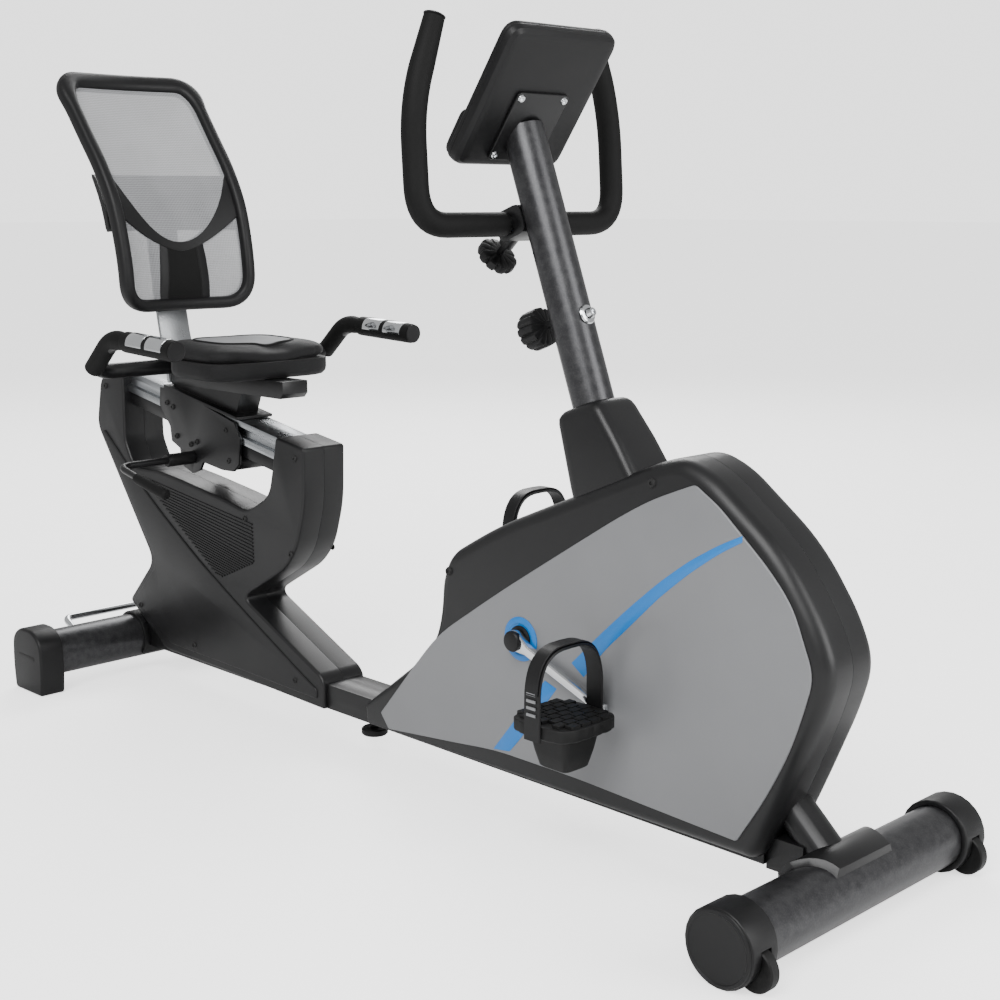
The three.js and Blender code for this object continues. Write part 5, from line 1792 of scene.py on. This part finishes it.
# %% Ribs of the backrest
def back_strip(name, material, left, right, ahead, behind, edge=2.0, body="seat_body", slot="black_plastic"):
    """A slab on the backrest's curve between two runs of (y, z) points with equal counts."""
    rings = []
    for (ya, za), (yb, zb) in zip(left, right):
        ring = []
        for t, d in ((0, behind + edge), (0, ahead - edge), (0.03, ahead), (0.25, ahead), (0.5, ahead), (0.75, ahead), (0.97, ahead), (1, ahead - edge), (1, behind + edge), (0.97, behind), (0.75, behind), (0.5, behind), (0.25, behind), (0.03, behind)):
            y, z = ya + (yb - ya) * t, za + (zb - za) * t
            ring.append(on_back(y, z, d))
        rings.append(ring)
    return new_piece(name, body, slot, material, *skin(rings), angle=40)


def smile(y, upper):
    """The height of the rib's upper or lower edge at a distance from the middle."""
    t = min(1.0, abs(y) / 116)
    return 782 + 118 * t**2.1 if upper else 766 + 58 * t**1.6


ys = [-118 + 236 * i / 36 for i in range(37)]
back_strip("back_smile", TRIM, [(y, smile(y, False)) for y in ys], [(y, smile(y, True)) for y in ys], 5, -5)
zs = [780 - 100 * i / 10 for i in range(11)]
halves = [45 + 7 * i / 10 for i in range(11)]
back_strip("back_column", TRIM, [(-h, z) for h, z in zip(halves, zs)], [(h, z) for h, z in zip(halves, zs)], 3.5, -5)
back_strip("back_column_inlay", FOAM, [(-h + 16, z - 2) for h, z in zip(halves, zs)], [(h - 16, z - 2) for h, z in zip(halves, zs)], 4.6, 2)
print("smile rib and column")


# %% Nets
def net_window(name, low, high, sides, rows=28, columns=20, lift=4.5):
    """A net stretched over a window: low and high give its edges in z, sides its edges in y."""
    points, faces = [], []
    for face in (0, 1):
        for r in range(rows + 1):
            for c in range(columns + 1):
                y = sides[0] + (sides[1] - sides[0]) * c / columns
                z = low(y) + (high(y) - low(y)) * r / rows
                sag = 5 * math.sin(math.pi * r / rows) * math.sin(math.pi * c / columns)
                points.append(on_back(y, z, lift - sag - face * 0.6))
    size = (rows + 1) * (columns + 1)
    for r in range(rows):
        for c in range(columns):
            a = r * (columns + 1) + c
            quad = (a, a + 1, a + columns + 2, a + columns + 1)
            faces += [quad, tuple(i + size for i in quad[::-1])]
    edge = [c for c in range(columns + 1)]
    edge += [r * (columns + 1) + columns for r in range(1, rows + 1)]
    edge += [rows * (columns + 1) + c for c in range(columns - 1, -1, -1)]
    edge += [r * (columns + 1) for r in range(rows - 1, 0, -1)]
    for a, b in zip(edge, edge[1:] + edge[:1]):
        faces.append((b, a, a + size, b + size))
    return new_piece(name, "seat_body", "mesh", NET, points, faces, angle=60)


upper_net = net_window("net_upper", lambda y: smile(y, True) - 3, lambda y: 1054, (-120, 120))
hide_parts("backrest_mesh")
for name, side in SIDES:
    sides = (-118, -40) if side < 0 else (40, 118)
    net = net_window("net_lower_" + name, lambda y: 682, lambda y: smile(y, False) + 3, sides, 14, 8, 2.5)
print("three nets")

# %% Yoke and bracket
rings = []
for z in [800, 802, 806, 820, 840, 860, 880, 889, 893, 895]:
    pinch = 5 * max(0.0, abs(z - 847.5) - 42) / 5.5
    ring = []
    for k in range(49):
        y = -132 + 264 * k / 48
        bow = 47 * math.sqrt(max(0.0, 1 - (y / 134) ** 2))
        ring.append(on_back(y, z, -13 - bow - pinch * 0.6))
    for k in range(49):
        y = 132 - 264 * k / 48
        bow = 47 * math.sqrt(max(0.0, 1 - (y / 134) ** 2))
        ring.append(on_back(y, z, -24 - bow + pinch * 0.6))
    rings.append(ring)
yoke = new_piece("yoke", "seat_body", "black_plastic", TRIM, *skin(rings), angle=45)
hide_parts("backrest_yoke")
refined("backrest_bracket", STEEL, bevel=1.0, angle=45)
print("yoke and bracket")


# %% [markdown]
# ## Hidden drive and the last step
# The flywheel, belt and crank pulley are inside the shroud. Their CAD nodes stay and only take better
# finishes. The two boxes, before and after, are kept together at the end.

# %% Inside pieces, floor and finish
for node, material in (("flywheel", STEEL), ("crank_pulley", TRIM), ("drive_belt", RUBBER)):
    mesh = frame["nodes"][node].data
    mesh.materials.clear()
    mesh.materials.append(material)
floor_finish = finish("floor", (246, 246, 246), (248, 248, 248), (0.55, 0.65), grain=(60, 0.0), specks=(40, 0.0))
floor_tree = floor_finish.node_tree
eye = add_node(floor_tree, "ShaderNodeLightPath")
floor_shader = floor_tree.nodes["Principled BSDF"]
floor_tree.links.new(eye.outputs["Is Camera Ray"], floor_shader.inputs["Emission Color"])
floor_shader.inputs["Emission Strength"].default_value = 1.5
floor_mesh = bpy.data.meshes.new("floor")
floor_mesh.from_pydata([(-60, -60, 0), (60, -60, 0), (60, 60, 0), (-60, 60, 0)], [], [(0, 1, 2, 3)])
floor_mesh.materials.append(floor_finish)
floor = bpy.data.objects.new("floor", floor_mesh)
bpy.context.scene.collection.objects.link(floor)
floor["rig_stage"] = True
sizes = {"cad": cad_bounds, "visual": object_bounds()}
